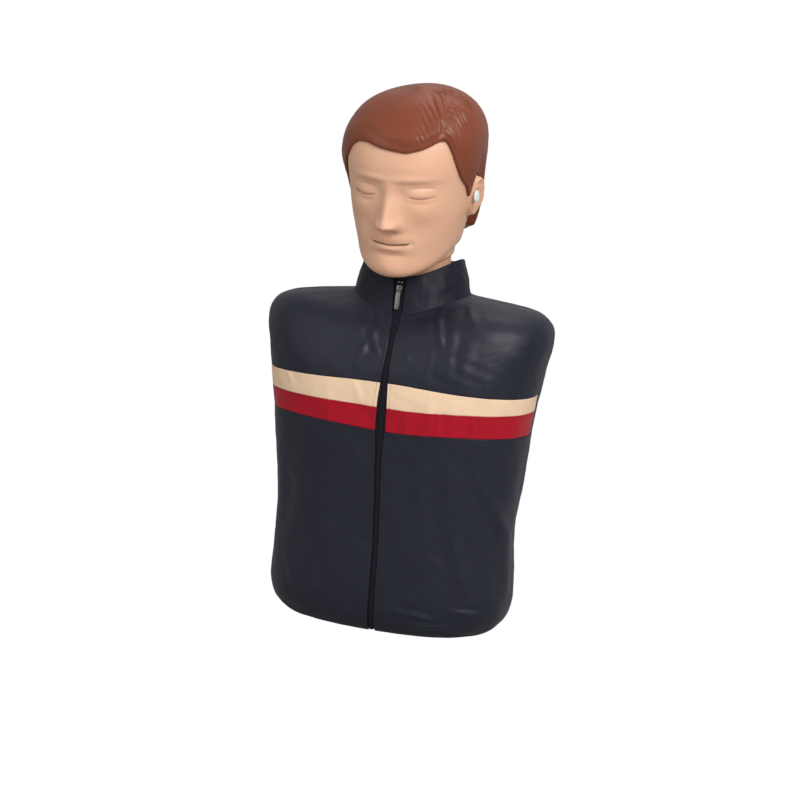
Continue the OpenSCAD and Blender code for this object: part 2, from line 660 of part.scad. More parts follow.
module tilt_pin() {
    color("silver") turned() {
        along_x(-block_w - cheek_t - seam_gap - 0.5, pin_r, 2 * (block_w + cheek_t + seam_gap) + 1);
        for (x = [-block_w - cheek_t - 3.8, block_w + cheek_t + 0.8]) along_x(x, pin_r + 2.5, 3);
    }
}

// Head core: two cheeks round the post, a stem and the plate that carries the skull
core_z = 44;
ear_bar = jaw_arch_r + seam_gap;
bar_t = 4.5;
module skull_base() {
    color("gainsboro") {
        difference() {
            union() {
                on_neck() {
                    for (s = [-1, 1]) translate([s * (block_w + seam_gap + cheek_t / 2), 0, -neck_l]) {
                        along_x(-cheek_t / 2, 11, cheek_t);
                        translate([-cheek_t / 2, -11, 0]) cube([cheek_t, 22, 26]);
                    }
                    translate([-block_w - seam_gap - cheek_t, -11, 20 - neck_l])
                        cube([2 * (block_w + seam_gap + cheek_t), 22, 8]);
                    translate([0, 0, 24 - neck_l]) cylinder(r = 11, h = core_z - 25 + neck_l);
                }
                in_head() {
                    translate([0, 6, core_z - 4]) cylinder(r = 34, h = 4);
                    translate([-ear_bar - bar_t, 8, core_z - 4]) cube([2 * (ear_bar + bar_t), 12, 4]);
                    for (s = [-1, 1]) translate([s * (ear_bar + bar_t / 2), 0, core_z - 4]) {
                        translate([-bar_t / 2, -7, 0]) cube([bar_t, 27, pivot_z - core_z + 4]);
                        translate([0, 0, pivot_z - core_z + 4]) along_x(-bar_t / 2, 7, bar_t);
                        translate([-bar_t / 2, -7, pivot_z - core_z + 4]) cube([bar_t, 27, 9]);
                    }
                    translate([0, 8, pivot_z + 8]) cylinder(r = 56, h = 4);
                }
            }
            on_neck() translate([0, 0, -neck_l]) along_x(-60, pin_r + 0.02, 120);
            in_head() translate([0, 0, pivot_z]) along_x(-80, pivot_r + 0.02, 160);
        }
    }
}

skull_r = 64;
module skull() {
    color("gainsboro") in_head() translate([0, 8, 124]) rotate_extrude() difference() {
        circle(r = skull_r, $fn = 96);
        circle(r = skull_r - 3.5, $fn = 96);
        translate([-80, -80]) square([80, 160]);
        translate([0, -80]) square([80, 80 - 30 + pivot_z - 82]);
    }
}

// Jaw: an arch below two plates that hang on the pivots
module jaw() {
    arch_y = -30;
    arch_z = 10;
    arch_h = 9;
    color("gainsboro") in_head() difference() {
        union() {
            translate([0, arch_y, arch_z]) rotate([0, 0, 180]) rotate_extrude(angle = 180)
                translate([jaw_arch_r - jaw_t, 0]) square([jaw_t, arch_h]);
            for (x = [-jaw_arch_r, jaw_arch_r - jaw_t]) translate([x, 0, 0]) rotate([90, 0, 90])
                linear_extrude(jaw_t) polygon([[arch_y, arch_z], [arch_y + 12, arch_z + 2], [10, pivot_z - 26],
                    [7, pivot_z], [-7, pivot_z], [-9, pivot_z - 24], [arch_y, arch_z + arch_h]]);
            for (x = [-jaw_arch_r, jaw_arch_r - jaw_t]) translate([0, 0, pivot_z]) along_x(x, 7, jaw_t);
        }
        translate([0, 0, pivot_z]) along_x(-80, pivot_r + run_gap + 0.02, 160);
    }
}

mouth_r = 9;
mouth_z = 31;
mouth_front = 1.4 + face_wall - chin_front;
mouth_back = -36;
module mouth_tube() {
    color("lightblue") in_head() translate([0, 0, mouth_z]) difference() {
        union() {
            along_y(mouth_front, mouth_r, mouth_back - mouth_front);
            along_y(mouth_front, mouth_r + 3, 2);
        }
        along_y(mouth_front - 1, mouth_r - 2, 60);
    }
}

THROAT = [[0, mouth_back + seam_gap, mouth_z], [0, -33, mouth_z], [0, -29, 29], [0, -26.8, 24.5],
    [0, -26, 17], [0, -26, 6], [0, -28, -12], [0, -31, -26]];
module throat_tube() {
    color("lightblue") in_head() hose(THROAT, hose_r);
}

module neck_skin() {
    color("burlywood") on_neck() translate([0, 0, -46]) difference() {
        cylinder(r = neck_r, h = 51);
        translate([0, 0, -1]) cylinder(r = neck_r - neck_wall, h = 60);
    }
}

// Columns lie closer together over the nose, eyes and mouth, and on the ears.
function face_bearing(i) = let (t = 2 * i - 1) FACE_EDGE * (0.52 * t + 0.48 * pow(abs(t), 2.4) * sign(t));

// Rows lie closer together at the mouth and the eyes.
function face_row(j) = lookup(j, [[0, 0], [0.1, 2.2], [0.5, 5.5], [0.82, 8.5], [1, V_FACE_TOP]]);

module face_skin() {
    color("burlywood") in_head() difference() {
        sheet(function (i, j) head(face_bearing(i), face_row(j), 0),
            function (i, j) bare_head(face_bearing(i), face_row(j), -face_wall), 44, 44, 2);
        translate([0, 0, pivot_z]) along_x(-120, pivot_r + 0.1, 240);
    }
}

module head_back_shell() {
    from = FACE_EDGE + 0.4;
    color("burlywood") in_head() sheet(
        function (i, j) bare_head(mix(from, 360 - from, i), mix(0, V_FACE_TOP, j), -0.3),
        function (i, j) bare_head(mix(from, 360 - from, i), mix(0, V_FACE_TOP, j), -face_wall), 12, 12, 2);
}

// Moulded hair: a smooth cap with a parting, thinner at the hairline
function lock(a, v) = let (parting = 42 + 4 * (v - 10))
    0.7 * sin(300 * v + 6 * (a - parting)) * smooth(v, 9, 10.5) * (1 - smooth(v, 11.5, 12.5))
    - 2 * bell(a, parting, 6) * smooth(v, 9.6, 10.6) * (1 - smooth(v, 11.6, 12.6));

hair_in = 1.5;
module hair_cap() {
    place = function (i, j, k) let (a = mix(-180, 180, i), v = mix(hairline(a), V_CROWN, pow(j, 1.05)),
        edge = smooth(j, 0, 0.3))
        bare_head(a, v, k == 0 ? hair_in + 2.1 * bell(abs(a), 97, 26)
            : hair_t * (0.5 + 0.5 * edge) + edge * lock(a, v) + 0.9 * bell(abs(a), 97, 26)
            + 8 * bell(v, 3.8, 2) * smooth(abs(a), 106, 116) + 4 * sin(a) * smooth(v, 8.5, 11))
        + [k == 0 ? ear_push(a, bare_head(a, v, 0)) : 0, 0, 0];
    color("sienna") in_head() dome(place, 60, 16);
}

// Ear plugs: a white button in each ear, whose shank is the jaw's pivot
plug_r = 6;
plug_x = skull_w + 2.8;
module ear_plug() {
    color("white") translate([0, 0, pivot_z]) {
        along_x(ear_bar - jaw_t - seam_gap - 0.5, pivot_r, plug_x - ear_bar + jaw_t + 1);
        along_x(plug_x, plug_r, 3);
    }
}
module ear_plug_right() {
    in_head() ear_plug();
}
module ear_plug_left() {
    in_head() mirrored() ear_plug();
}

// Jacket: left and right are those of someone looking at the front
module front_right(lo, hi, nv, rows = []) {
    panel(function (i, v) front_at(i, v), lo, hi, 12, nv, rows = rows);
}
module front_left(lo, hi, nv, rows = []) {
    panel(function (i, v) -front_at(1 - i, v), lo, hi, 12, nv, rows = rows);
}
yoke_rows = concat([V_CREAM + 0.01], [for (k = [0:8]) arm_row(k)], [10.8, 11.2, 11.7, 12.3, V_NECK - 0.06]);
module jacket_yoke_right() {
    color("midnightblue") front_right(V_CREAM, V_NECK - 0.06, 14, yoke_rows);
}
module jacket_yoke_left() {
    color("midnightblue") front_left(V_CREAM, V_NECK - 0.06, 14, yoke_rows);
}
module cream_stripe_right() {
    color("wheat") front_right(V_SEAM + 0.01, V_CREAM - 0.01, 2);
}
module cream_stripe_left() {
    color("wheat") front_left(V_SEAM + 0.01, V_CREAM - 0.01, 2);
}
module red_stripe_right() {
    color("crimson") front_right(V_RED + 0.01, V_SEAM - 0.01, 2);
}
module red_stripe_left() {
    color("crimson") front_left(V_RED + 0.01, V_SEAM - 0.01, 2);
}
module jacket_front_right() {
    color("midnightblue") front_right(V_BAND + 0.02, V_RED - 0.01, 12);
}
module jacket_front_left() {
    color("midnightblue") front_left(V_BAND + 0.02, V_RED - 0.01, 12);
}
module jacket_back() {
    rows = concat([for (k = [0:8]) mix(V_BAND + 0.02, 6.6, k / 8)], [for (k = [0:8]) arm_row(k)],
        [10.8, 11.2, 11.7, 12.3, V_NECK - 0.06]);
    color("midnightblue") panel(function (i, v) back_at(i, v), V_BAND + 0.02, V_NECK - 0.06, 18, 22,
        rows = rows);
}
arm_rows = concat([V_ARM_LOW + 0.06], [for (k = [1:7]) arm_row(k)], [V_ARM_HIGH - 0.06]);
module armhole_panel_right() {
    color("midnightblue") panel(function (i, v) arm_at(i, v), arm_rows[0], arm_rows[8], 6, 8,
        rows = arm_rows);
}
module armhole_panel_left() {
    color("midnightblue") panel(function (i, v) -arm_at(1 - i, v), arm_rows[0], arm_rows[8], 6, 8,
        rows = arm_rows);
}
collar_in = 1.4;
module collar() {
    color("midnightblue") panel(function (i, v) round_at(i, v), V_NECK + 0.17, V_TOP, 30, 4,
        collar_in, collar_in + collar_t);
}
module hem_band() {
    at = function (i, v) let (b = bearing(tape_half + 0.5, v)) mix(b, 360 - b, i);
    color("midnightblue") panel(at, V_HEM, V_BAND, 36, 4, 0.6, 0.6 + cloth);
}

// Zip: tapes under the front edges, rows of teeth on them
tape_in = 0.5;
zip_rows = concat([for (k = [0:24]) mix(V_HEM + 0.2, V_NECK, k / 24)], [V_NECK + 1, V_TOP - 0.04]);
module tape(side) {
    panel(function (i, v) side * bearing(mix(tooth_groove / 2, tape_half, side > 0 ? i : 1 - i), v),
        zip_rows[0], zip_rows[26], 2, 26, tape_in, tape_in + tape_t, zip_rows);
}
module zip_tape_right() {
    color("black") tape(1);
}
module zip_tape_left() {
    color("black") tape(-1);
}
module teeth(side) {
    rows = concat([for (k = [0:25]) zip_rows[k]], [V_TOP - 0.25]);
    panel(function (i, v) side * bearing(tooth_groove / 2 + tooth_row * (side > 0 ? i : 1 - i), v),
        rows[0], rows[26], 1, 26, tape_in + tape_t, tape_in + tape_t + tooth_t, rows);
}
module zip_teeth_right() {
    color("darkslategray") teeth(1);
}
module zip_teeth_left() {
    color("darkslategray") teeth(-1);
}

// Frame of the zip on the collar: +Z runs up the zip and -Y points outwards
collar_slope = atan(8 / collar_front_h);
teeth_top = tape_in + tape_t + tooth_t;
slider_down = 10;
slider_l = 9.5;
bail_y = -teeth_top - 3.2;
// Round bar at the pull's upper end, which turns in the bail
bar_r = 0.6;
pull_top = -0.4;
module on_collar(down) {
    translate([0, -COLLAR_TOP[4], COLLAR_TOP[1]]) rotate([-collar_slope, 0, 0])
        translate([0, 0, -down]) children();
}
module zip_stops() {
    color("silver") on_collar(2.2) for (s = [-1, 1])
        translate([s * 2.2 - 1.1, -tape_in - tape_t - 2, -1.2]) cube([2.2, 1.97, 2.4]);
}
module zip_slider() {
    web = tooth_groove - 0.4;
    color("dimgray") on_collar(slider_down) {
        translate([-3.8, -teeth_top - 1.5, -slider_l / 2]) cube([7.6, 1.2, slider_l]);
        translate([-3.8, 0.2 - tape_in, -slider_l / 2]) cube([7.6, 1, slider_l]);
        translate([-web / 2, -teeth_top - 0.5, -slider_l / 2]) cube([web, teeth_top + 0.6, slider_l]);
        for (z = [-3.4, 0]) translate([-1.2, bail_y - 1.5, z]) cube([2.4, 3.6, 1.4]);
        translate([-1.2, bail_y - 1.9, -3.4]) cube([2.4, 1, 4.8]);
    }
}
module zip_pull() {
    color("dimgray") on_collar(slider_down) translate([0, bail_y, pull_top]) difference() {
        union() {
            translate([-pull_w / 2, -0.5, -pull_l]) cube([pull_w, 1, pull_l - bar_r]);
            translate([0, 0, -bar_r]) along_x(-pull_w / 2, bar_r, pull_w);
        }
        translate([-1.7, -2, -4.4]) cube([3.4, 4, 4.4 - 2 * bar_r]);
    }
}

base_plate();
back_shell();
chest_skin();
neck_bracket();
bracket_screws();
spring_barrel();
barrel_screws();
compression_spring();
click_dome();
plunger();
chest_plate();
plate_screws();
lung_bag();
airway_hose();
neck_post();
post_clip();
tilt_pin();
skull_base();
skull();
jaw();
mouth_tube();
throat_tube();
neck_skin();
face_skin();
head_back_shell();
hair_cap();
ear_plug_left();
ear_plug_right();
jacket_yoke_left();
jacket_yoke_right();
cream_stripe_left();
cream_stripe_right();
red_stripe_left();
red_stripe_right();
jacket_front_left();
jacket_front_right();
jacket_back();
armhole_panel_left();
armhole_panel_right();
collar();
hem_band();
zip_tape_left();
zip_tape_right();
zip_teeth_left();
zip_teeth_right();
zip_stops();
zip_slider();
zip_pull();
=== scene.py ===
"""Looks of a half-body resuscitation training manikin in a zipped sleeveless jacket.

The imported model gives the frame: every piece below is worked out in millimetres in that
frame, scaled to metres when its mesh is made, and rides on the body that carries it.
"""

from __future__ import annotations

import logging
import math
from dataclasses import dataclass, field
from enum import Enum
from typing import Callable

import bmesh
import bpy
import numpy as np
from mathutils import Matrix, Vector

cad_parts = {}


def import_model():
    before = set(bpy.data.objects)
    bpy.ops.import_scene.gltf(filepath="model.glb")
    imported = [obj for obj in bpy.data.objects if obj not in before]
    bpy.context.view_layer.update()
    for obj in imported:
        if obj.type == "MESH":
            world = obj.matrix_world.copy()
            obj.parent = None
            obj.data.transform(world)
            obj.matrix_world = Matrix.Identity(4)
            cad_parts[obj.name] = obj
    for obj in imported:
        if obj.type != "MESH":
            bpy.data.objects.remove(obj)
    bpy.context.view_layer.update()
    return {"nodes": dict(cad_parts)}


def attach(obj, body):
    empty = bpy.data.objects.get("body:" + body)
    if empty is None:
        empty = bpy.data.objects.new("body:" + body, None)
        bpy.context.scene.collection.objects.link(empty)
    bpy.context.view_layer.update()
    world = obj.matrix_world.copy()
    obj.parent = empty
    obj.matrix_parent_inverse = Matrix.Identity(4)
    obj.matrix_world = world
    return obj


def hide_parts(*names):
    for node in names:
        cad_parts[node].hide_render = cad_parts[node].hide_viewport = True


LOG = logging.getLogger("manikin")
MM = 0.001
Array = np.ndarray


def bell(x: Array, mid: float | Array, width: float | Array) -> Array:
    """A smooth bump of height 1 at mid, exp(-((x - mid) / width) squared)."""
    return np.exp(-(((x - mid) / width) ** 2))


def smooth(x: Array, lo: float, hi: float) -> Array:
    """A smooth step from 0 at lo to 1 at hi, 3 t squared - 2 t cubed."""
    t = np.clip((x - lo) / (hi - lo), 0, 1)
    return t * t * (3 - 2 * t)


def mix(a: Array | float, b: Array | float, t: Array | float) -> Array:
    """The value at share t of the way from a to b."""
    return a + (b - a) * t


def unit(v: Array) -> Array:
    """Vectors of length 1 along v."""
    return v / np.maximum(np.linalg.norm(v, axis=-1, keepdims=True), 1e-9)


def turn(axis: str, degrees: float) -> Array:
    """A rotation matrix about one axis, right-handed."""
    c, s = math.cos(math.radians(degrees)), math.sin(math.radians(degrees))
    rows = {
        "x": [[1, 0, 0], [0, c, -s], [0, s, c]],
        "y": [[c, 0, s], [0, 1, 0], [-s, 0, c]],
        "z": [[c, -s, 0], [s, c, 0], [0, 0, 1]],
    }
    return np.array(rows[axis], float)


def ripple(x: Array, y: Array, seed: int, longest: float, count: int = 9) -> Array:
    """Soft waves of random lie: a sum of sines whose wavelengths shrink from longest.

    Args:
        x: First coordinate of each point.
        y: Second coordinate of each point.
        seed: Start of the random draws.
        longest: Longest wavelength, in the units of x and y.
        count: Number of sines.

    Returns:
        Heights of about -1 to 1.
    """
    draw = np.random.default_rng(seed)
    out = np.zeros(np.broadcast(x, y).shape)
    weight = 0.0
    for k in range(count):
        way = draw.uniform(0, math.tau)
        wave = longest / (1 + 0.45 * k)
        size = 1 / (1 + 0.6 * k)
        phase = draw.uniform(0, math.tau)
        bend = 0.35 * longest * np.sin(math.tau * y / (2.3 * longest) + phase)
        out += size * np.sin(math.tau * ((x + bend) * math.cos(way) + y * math.sin(way)) / wave + phase)
        weight += size * size
    return out / math.sqrt(weight)


@dataclass(frozen=True)
class Loft:
    """A closed form given by level sections, with a smooth curve through them.

    Each section is [height at the sides, at the front, at the back, half-width, front
    depth, back depth, squareness]. A point on it is at a bearing in degrees, counted from
    the front towards +X, and at a section number.
    """

    rows: Array
    smooth_to: int
    shear: Callable[[Array, Array], Array] = lambda a, v: v
    reach: Callable[[Array], Array] = lambda v: 0.03 + 0 * v

    def section(self, v: Array) -> Array:
        """Section v by a Catmull-Rom curve, or a straight line above smooth_to."""
        last = len(self.rows) - 1
        k = np.clip(np.floor(v).astype(int), 0, last - 1)
        t = (v - k)[..., None]
        b, c = self.rows[k], self.rows[k + 1]
        a = np.where((k > 0)[..., None], self.rows[np.maximum(k - 1, 0)], 2 * b - c)
        d = np.where((k + 2 <= self.smooth_to)[..., None], self.rows[np.minimum(k + 2, last)], 2 * c - b)
        curve = 0.5 * (
            2 * b + (c - a) * t + (2 * a - 5 * b + 4 * c - d) * t**2 + (3 * b - a - 3 * c + d) * t**3)
        return np.where((v >= self.smooth_to)[..., None], b + (c - b) * t, curve)

    def point(self, a: Array, v: Array) -> Array:
        """The point at bearing a of section v, on a superellipse of the section's axes."""
        a, v = np.broadcast_arrays(np.asarray(a, float), np.asarray(v, float))
        s = self.section(self.shear(a, v))
        sine, cosine = np.sin(np.radians(a)), np.cos(np.radians(a))
        depth = np.where(cosine > 0, s[..., 4], s[..., 5])
        power = s[..., 6]
        r = ((np.abs(sine) / s[..., 3]) ** power + (np.abs(cosine) / depth) ** power) ** (-1 / power)
        end = np.where(cosine > 0, s[..., 1], s[..., 2])
        return np.stack([r * sine, -r * cosine, s[..., 0] + (end - s[..., 0]) * cosine**2], -1)

    def normal(self, a: Array, v: Array, lo: float, hi: float) -> Array:
        """The outward direction at (a, v), from differences kept inside lo and hi."""
        step = self.reach(np.asarray(v, float))
        m = np.clip(v, lo + step, hi - step)
        across = self.point(a + 0.6, m) - self.point(a - 0.6, m)
        upwards = self.point(a, m + step) - self.point(a, m - step)
        return unit(np.cross(across, upwards))


@dataclass
class Mesh:
    """Points, faces and the numbers that a finish reads at each point."""

    points: Array
    faces: list[list[int]]
    uv: Array | None = None
    masks: dict[str, Array] = field(default_factory=dict)

    def build(self, name: str, weld: bool = True) -> bpy.types.Object:
        """Makes the Blender object, in metres, with its doubles merged.

        Args:
            name: Name of the piece.
            weld: Whether coincident points are merged.

        Returns:
            The new object, at the origin.
        """
        data = bpy.data.meshes.new(name)
        data.from_pydata((self.points.reshape(-1, 3) * MM).tolist(), [], self.faces)
        if self.uv is not None:
            corner = np.zeros(len(data.loops), np.int32)
            data.loops.foreach_get("vertex_index", corner)
            layer = data.uv_layers.new(name="flow")
            layer.data.foreach_set("uv", (self.uv.reshape(-1, 2)[corner] * MM).astype(np.float32).ravel())
        for key, values in self.masks.items():
            mask = data.attributes.new(key, "FLOAT", "POINT")
            mask.data.foreach_set("value", np.asarray(values, np.float32).ravel())
        if weld:
            shape = bmesh.new()
            shape.from_mesh(data)
            bmesh.ops.remove_doubles(shape, verts=shape.verts, dist=2e-6)
            shape.to_mesh(data)
            shape.free()
        data.shade_smooth()
        piece = bpy.data.objects.new(name, data)
        bpy.context.scene.collection.objects.link(piece)
        return piece


def quads(rows: int, cols: int, start: int = 0, ring: bool = False, flip: bool = False) -> list[list[int]]:
    """Faces of a grid of rows by cols points, counter-clockwise with columns to the right.

    Args:
        rows: Number of rows of points.
        cols: Number of columns of points.
        start: Index of the first point.
        ring: Whether the last column joins the first.
        flip: Whether the faces look the other way.

    Returns:
        Lists of four point indices.
    """
    i = np.arange(cols if ring else cols - 1)
    j = np.arange(rows - 1)[:, None]
    k = (i + 1) % cols
    faces = np.stack([j * cols + i, j * cols + k, (j + 1) * cols + k, (j + 1) * cols + i], -1) + start
    return (faces[..., ::-1] if flip else faces).reshape(-1, 4).tolist()


def band(first: Array, second: Array) -> list[list[int]]:
    """Faces between two rows of point indices of the same length."""
    return np.stack([first[:-1], second[:-1], second[1:], first[1:]], -1).tolist()


def shell(outer: Array, inner: Array) -> tuple[Array, list[list[int]]]:
    """A closed wall between two grids of points, with a band of faces along each edge.

    Args:
        outer: Rows by columns by 3 points of the outer face, columns to the right.
        inner: The same for the inner face.

    Returns:
        The points and the faces.
    """
    rows, cols = outer.shape[:2]
    count = rows * cols
    faces = quads(rows, cols) + quads(rows, cols, count, flip=True)
    index = np.arange(count).reshape(rows, cols)
    edges = (index[0], index[:, -1], index[-1, ::-1], index[::-1, 0])
    for edge in edges:
        faces += band(edge, edge + count)
    return np.concatenate([outer.reshape(-1, 3), inner.reshape(-1, 3)]), faces


def sweep(path: Array, outline: Array, side: Array, loop: bool = False) -> tuple[Array, list[list[int]]]:
    """Carries a closed outline along a path, each ring square to it, with closed ends.

    Args:
        path: Points of the path.
        outline: Points of the outline, in the two directions square to the path.
        side: A direction that the outline's first axis stays close to.
        loop: Whether the path's end joins its start.

    Returns:
        The points and the faces.
    """
    if loop:
        along = np.roll(path, -1, 0) - np.roll(path, 1, 0)
    else:
        along = np.gradient(path, axis=0)
    along = unit(along)
    across = unit(side - along * (along @ side)[:, None])
    upwards = np.cross(along, across)
    rings = (
        path[:, None] + outline[None, :, 0, None] * across[:, None]
        + outline[None, :, 1, None] * upwards[:, None])
    n, m = len(path), len(outline)
    faces = quads(n, m, ring=True, flip=False)
    if loop:
        index = np.arange(m)
        nxt = (index + 1) % m
        last = (n - 1) * m
        faces += np.stack([last + index, last + nxt, nxt, index], -1).tolist()
    else:
        faces += [list(range(m))[::-1], list(range((n - 1) * m, n * m))]
    return rings.reshape(-1, 3), faces


def round_outline(width: float, height: float, power: float, count: int) -> Array:
    """A superellipse of count points: |x/w|^power + |y/h|^power = 1."""
    t = np.linspace(0, math.tau, count, endpoint=False)
    c, s = np.cos(t), np.sin(t)
    shape = (np.abs(c) ** power + np.abs(s) ** power) ** (-1 / power)
    return np.stack([width / 2 * c * shape, height / 2 * s * shape], -1)


def edge_shares(count: int, span: float, radius: float) -> Array:
    """Shares from 0 to 1 that crowd within a radius of both ends, for a rounded edge."""
    turned = radius / span * (1 - np.cos(np.linspace(0, math.pi / 2, 5)))
    middle = np.linspace(radius / span, 1 - radius / span, count)
    return np.concatenate([turned[:-1], middle, 1 - turned[-2::-1]])


def edge_fall(shares: Array, span: float, radius: float) -> Array:
    """Share of the full thickness at each place, a quarter circle of a radius at the ends."""
    d = np.clip(np.minimum(shares, 1 - shares) * span / radius, 0, 1)
    return np.sqrt(np.maximum(0, 1 - (1 - d) ** 2))


# Finishes


class Grain(Enum):
    """Kinds of surface that a finish can have."""

    WOVEN = "woven"
    VINYL = "vinyl"
    MOULDED = "moulded"
    STRANDS = "strands"
    METAL = "metal"
    FILM = "film"


class Tree:
    """A node tree with short calls for adding nodes and joining sockets."""

    def __init__(self, tree: bpy.types.NodeTree) -> None:
        """Starts on an empty tree."""
        self.tree = tree

    def add(self, kind: str, **values: object) -> bpy.types.Node:
        """Adds a node and sets its properties."""
        node = self.tree.nodes.new(kind)
        for key, value in values.items():
            setattr(node, key, value)
        return node

    def join(self, source: bpy.types.NodeSocket, target: bpy.types.NodeSocket) -> None:
        """Links two sockets."""
        self.tree.links.new(source, target)

    def math(self, what: str, a: object, b: object = 0.0, c: object = 0.0) -> bpy.types.NodeSocket:
        """Adds a Math node on sockets or numbers and returns its result."""
        node = self.add("ShaderNodeMath", operation=what)
        for place, value in zip(node.inputs, (a, b, c)):
            if isinstance(value, (int, float)):
                place.default_value = value
            else:
                self.join(value, place)
        return node.outputs[0]

    def noise(self, vector: bpy.types.NodeSocket, scale: object, detail: float = 2.0) -> bpy.types.NodeSocket:
        """Adds a noise texture and returns its value."""
        node = self.add("ShaderNodeTexNoise")
        node.inputs["Detail"].default_value = detail
        self.join(vector, node.inputs["Vector"])
        if isinstance(scale, (int, float)):
            node.inputs["Scale"].default_value = scale
        else:
            self.join(scale, node.inputs["Scale"])
        return node.outputs["Fac"]

    def stretch(
        self, vector: bpy.types.NodeSocket, scale: tuple[float, float, float],
    ) -> bpy.types.NodeSocket:
        """Scales a vector by different amounts along its axes."""
        node = self.add("ShaderNodeVectorMath", operation="MULTIPLY")
        self.join(vector, node.inputs[0])
        node.inputs[1].default_value = scale
        return node.outputs[0]


def group(name: str, inputs: dict[str, float], outputs: tuple[str, ...]) -> tuple[Tree, dict, dict, bool]:
    """Makes or finds a shader node group with a Vector input, value inputs and outputs.

    Args:
        name: Name of the group.
        inputs: Value inputs and their usual values.
        outputs: Names of the value outputs.

    Returns:
        The tree, its input sockets, its output sockets, and whether it is new.
    """
    known = bpy.data.node_groups.get(name)
    if known:
        return Tree(known), {}, {}, False
    made = bpy.data.node_groups.new(name, "ShaderNodeTree")
    made.interface.new_socket(name="Vector", in_out="INPUT", socket_type="NodeSocketVector")
    for key, value in inputs.items():
        socket = made.interface.new_socket(name=key, in_out="INPUT", socket_type="NodeSocketFloat")
        socket.default_value = value
    for key in outputs:
        made.interface.new_socket(name=key, in_out="OUTPUT", socket_type="NodeSocketFloat")
    tree = Tree(made)
    first = tree.add("NodeGroupInput")
    last = tree.add("NodeGroupOutput")
    return tree, {s.name: s for s in first.outputs}, {s.name: s for s in last.inputs}, True


def woven_group() -> bpy.types.NodeTree:
    """Plain weave: crossed ridges of the given pitch, with uneven threads.

    Height is the larger of two sine ridges, and Tone adds long thin streaks along both
    thread directions and a broad soft mottling.
    """
    tree, at, out, new = group("woven_threads", {"Pitch": 0.0005, "Slub": 1.0}, ("Height", "Tone"))
    if new:
        split = tree.add("ShaderNodeSeparateXYZ")
        tree.join(at["Vector"], split.inputs[0])
        waves = []
        for axis, shift in (("X", 0.0), ("Y", math.pi / 2)):
            turns = tree.math("DIVIDE", split.outputs[axis], at["Pitch"])
            angle = tree.math("MULTIPLY_ADD", turns, math.tau, shift)
            waves.append(tree.math("SINE", angle))
        tree.join(tree.math("MAXIMUM", waves[0], waves[1]), out["Height"])
        weft = tree.noise(tree.stretch(at["Vector"], (30.0, 1400.0, 1.0)), 1.0)
        warp = tree.noise(tree.stretch(at["Vector"], (1400.0, 30.0, 1.0)), 1.0)
        broad = tree.noise(at["Vector"], 18.0)
        threads = tree.math("ADD", weft, warp)
        streaks = tree.math("MULTIPLY", tree.math("SUBTRACT", threads, 1.0), at["Slub"])
        soft = tree.math("MULTIPLY", tree.math("SUBTRACT", broad, 0.5), 0.7)
        tree.join(tree.math("ADD", tree.math("ADD", streaks, soft), 0.5), out["Tone"])
    return tree.tree


def mottled_group() -> bpy.types.NodeTree:
    """Moulded surface: a fine pebble grain and a broad drift of tone."""
    tree, at, out, new = group("mottled_mould", {"Scale": 60.0, "Grain": 2500.0}, ("Height", "Tone"))
    if new:
        broad = tree.noise(at["Vector"], at["Scale"], 3.0)
        fine = tree.noise(at["Vector"], at["Grain"], 1.0)
        tree.join(fine, out["Height"])
        tree.join(tree.math("MULTIPLY_ADD", fine, 0.15, tree.math("MULTIPLY", broad, 0.85)), out["Tone"])
    return tree.tree


def strand_group() -> bpy.types.NodeTree:
    """Hair strands: noise stretched long along the flow, in two widths."""
    tree, at, out, new = group("hair_strands", {"Width": 1.0}, ("Height", "Tone"))
    if new:
        fine = tree.noise(tree.stretch(at["Vector"], (900.0, 22.0, 1.0)), at["Width"], 2.0)
        broad = tree.noise(tree.stretch(at["Vector"], (160.0, 10.0, 1.0)), at["Width"], 2.0)
        both = tree.math("MULTIPLY_ADD", fine, 0.45, tree.math("MULTIPLY", broad, 0.55))
        tree.join(both, out["Height"])
        tree.join(both, out["Tone"])
    return tree.tree


def brushed_group() -> bpy.types.NodeTree:
    """Metal: fine lines along one axis and a broad drift of tone."""
    tree, at, out, new = group("brushed_lines", {"Scale": 1.0}, ("Height", "Tone"))
    if new:
        lines = tree.noise(tree.stretch(at["Vector"], (3000.0, 3000.0, 90.0)), at["Scale"], 2.0)
        broad = tree.noise(at["Vector"], 120.0)
        tree.join(lines, out["Height"])
        tree.join(tree.math("MULTIPLY_ADD", lines, 0.4, tree.math("MULTIPLY", broad, 0.6)), out["Tone"])
    return tree.tree


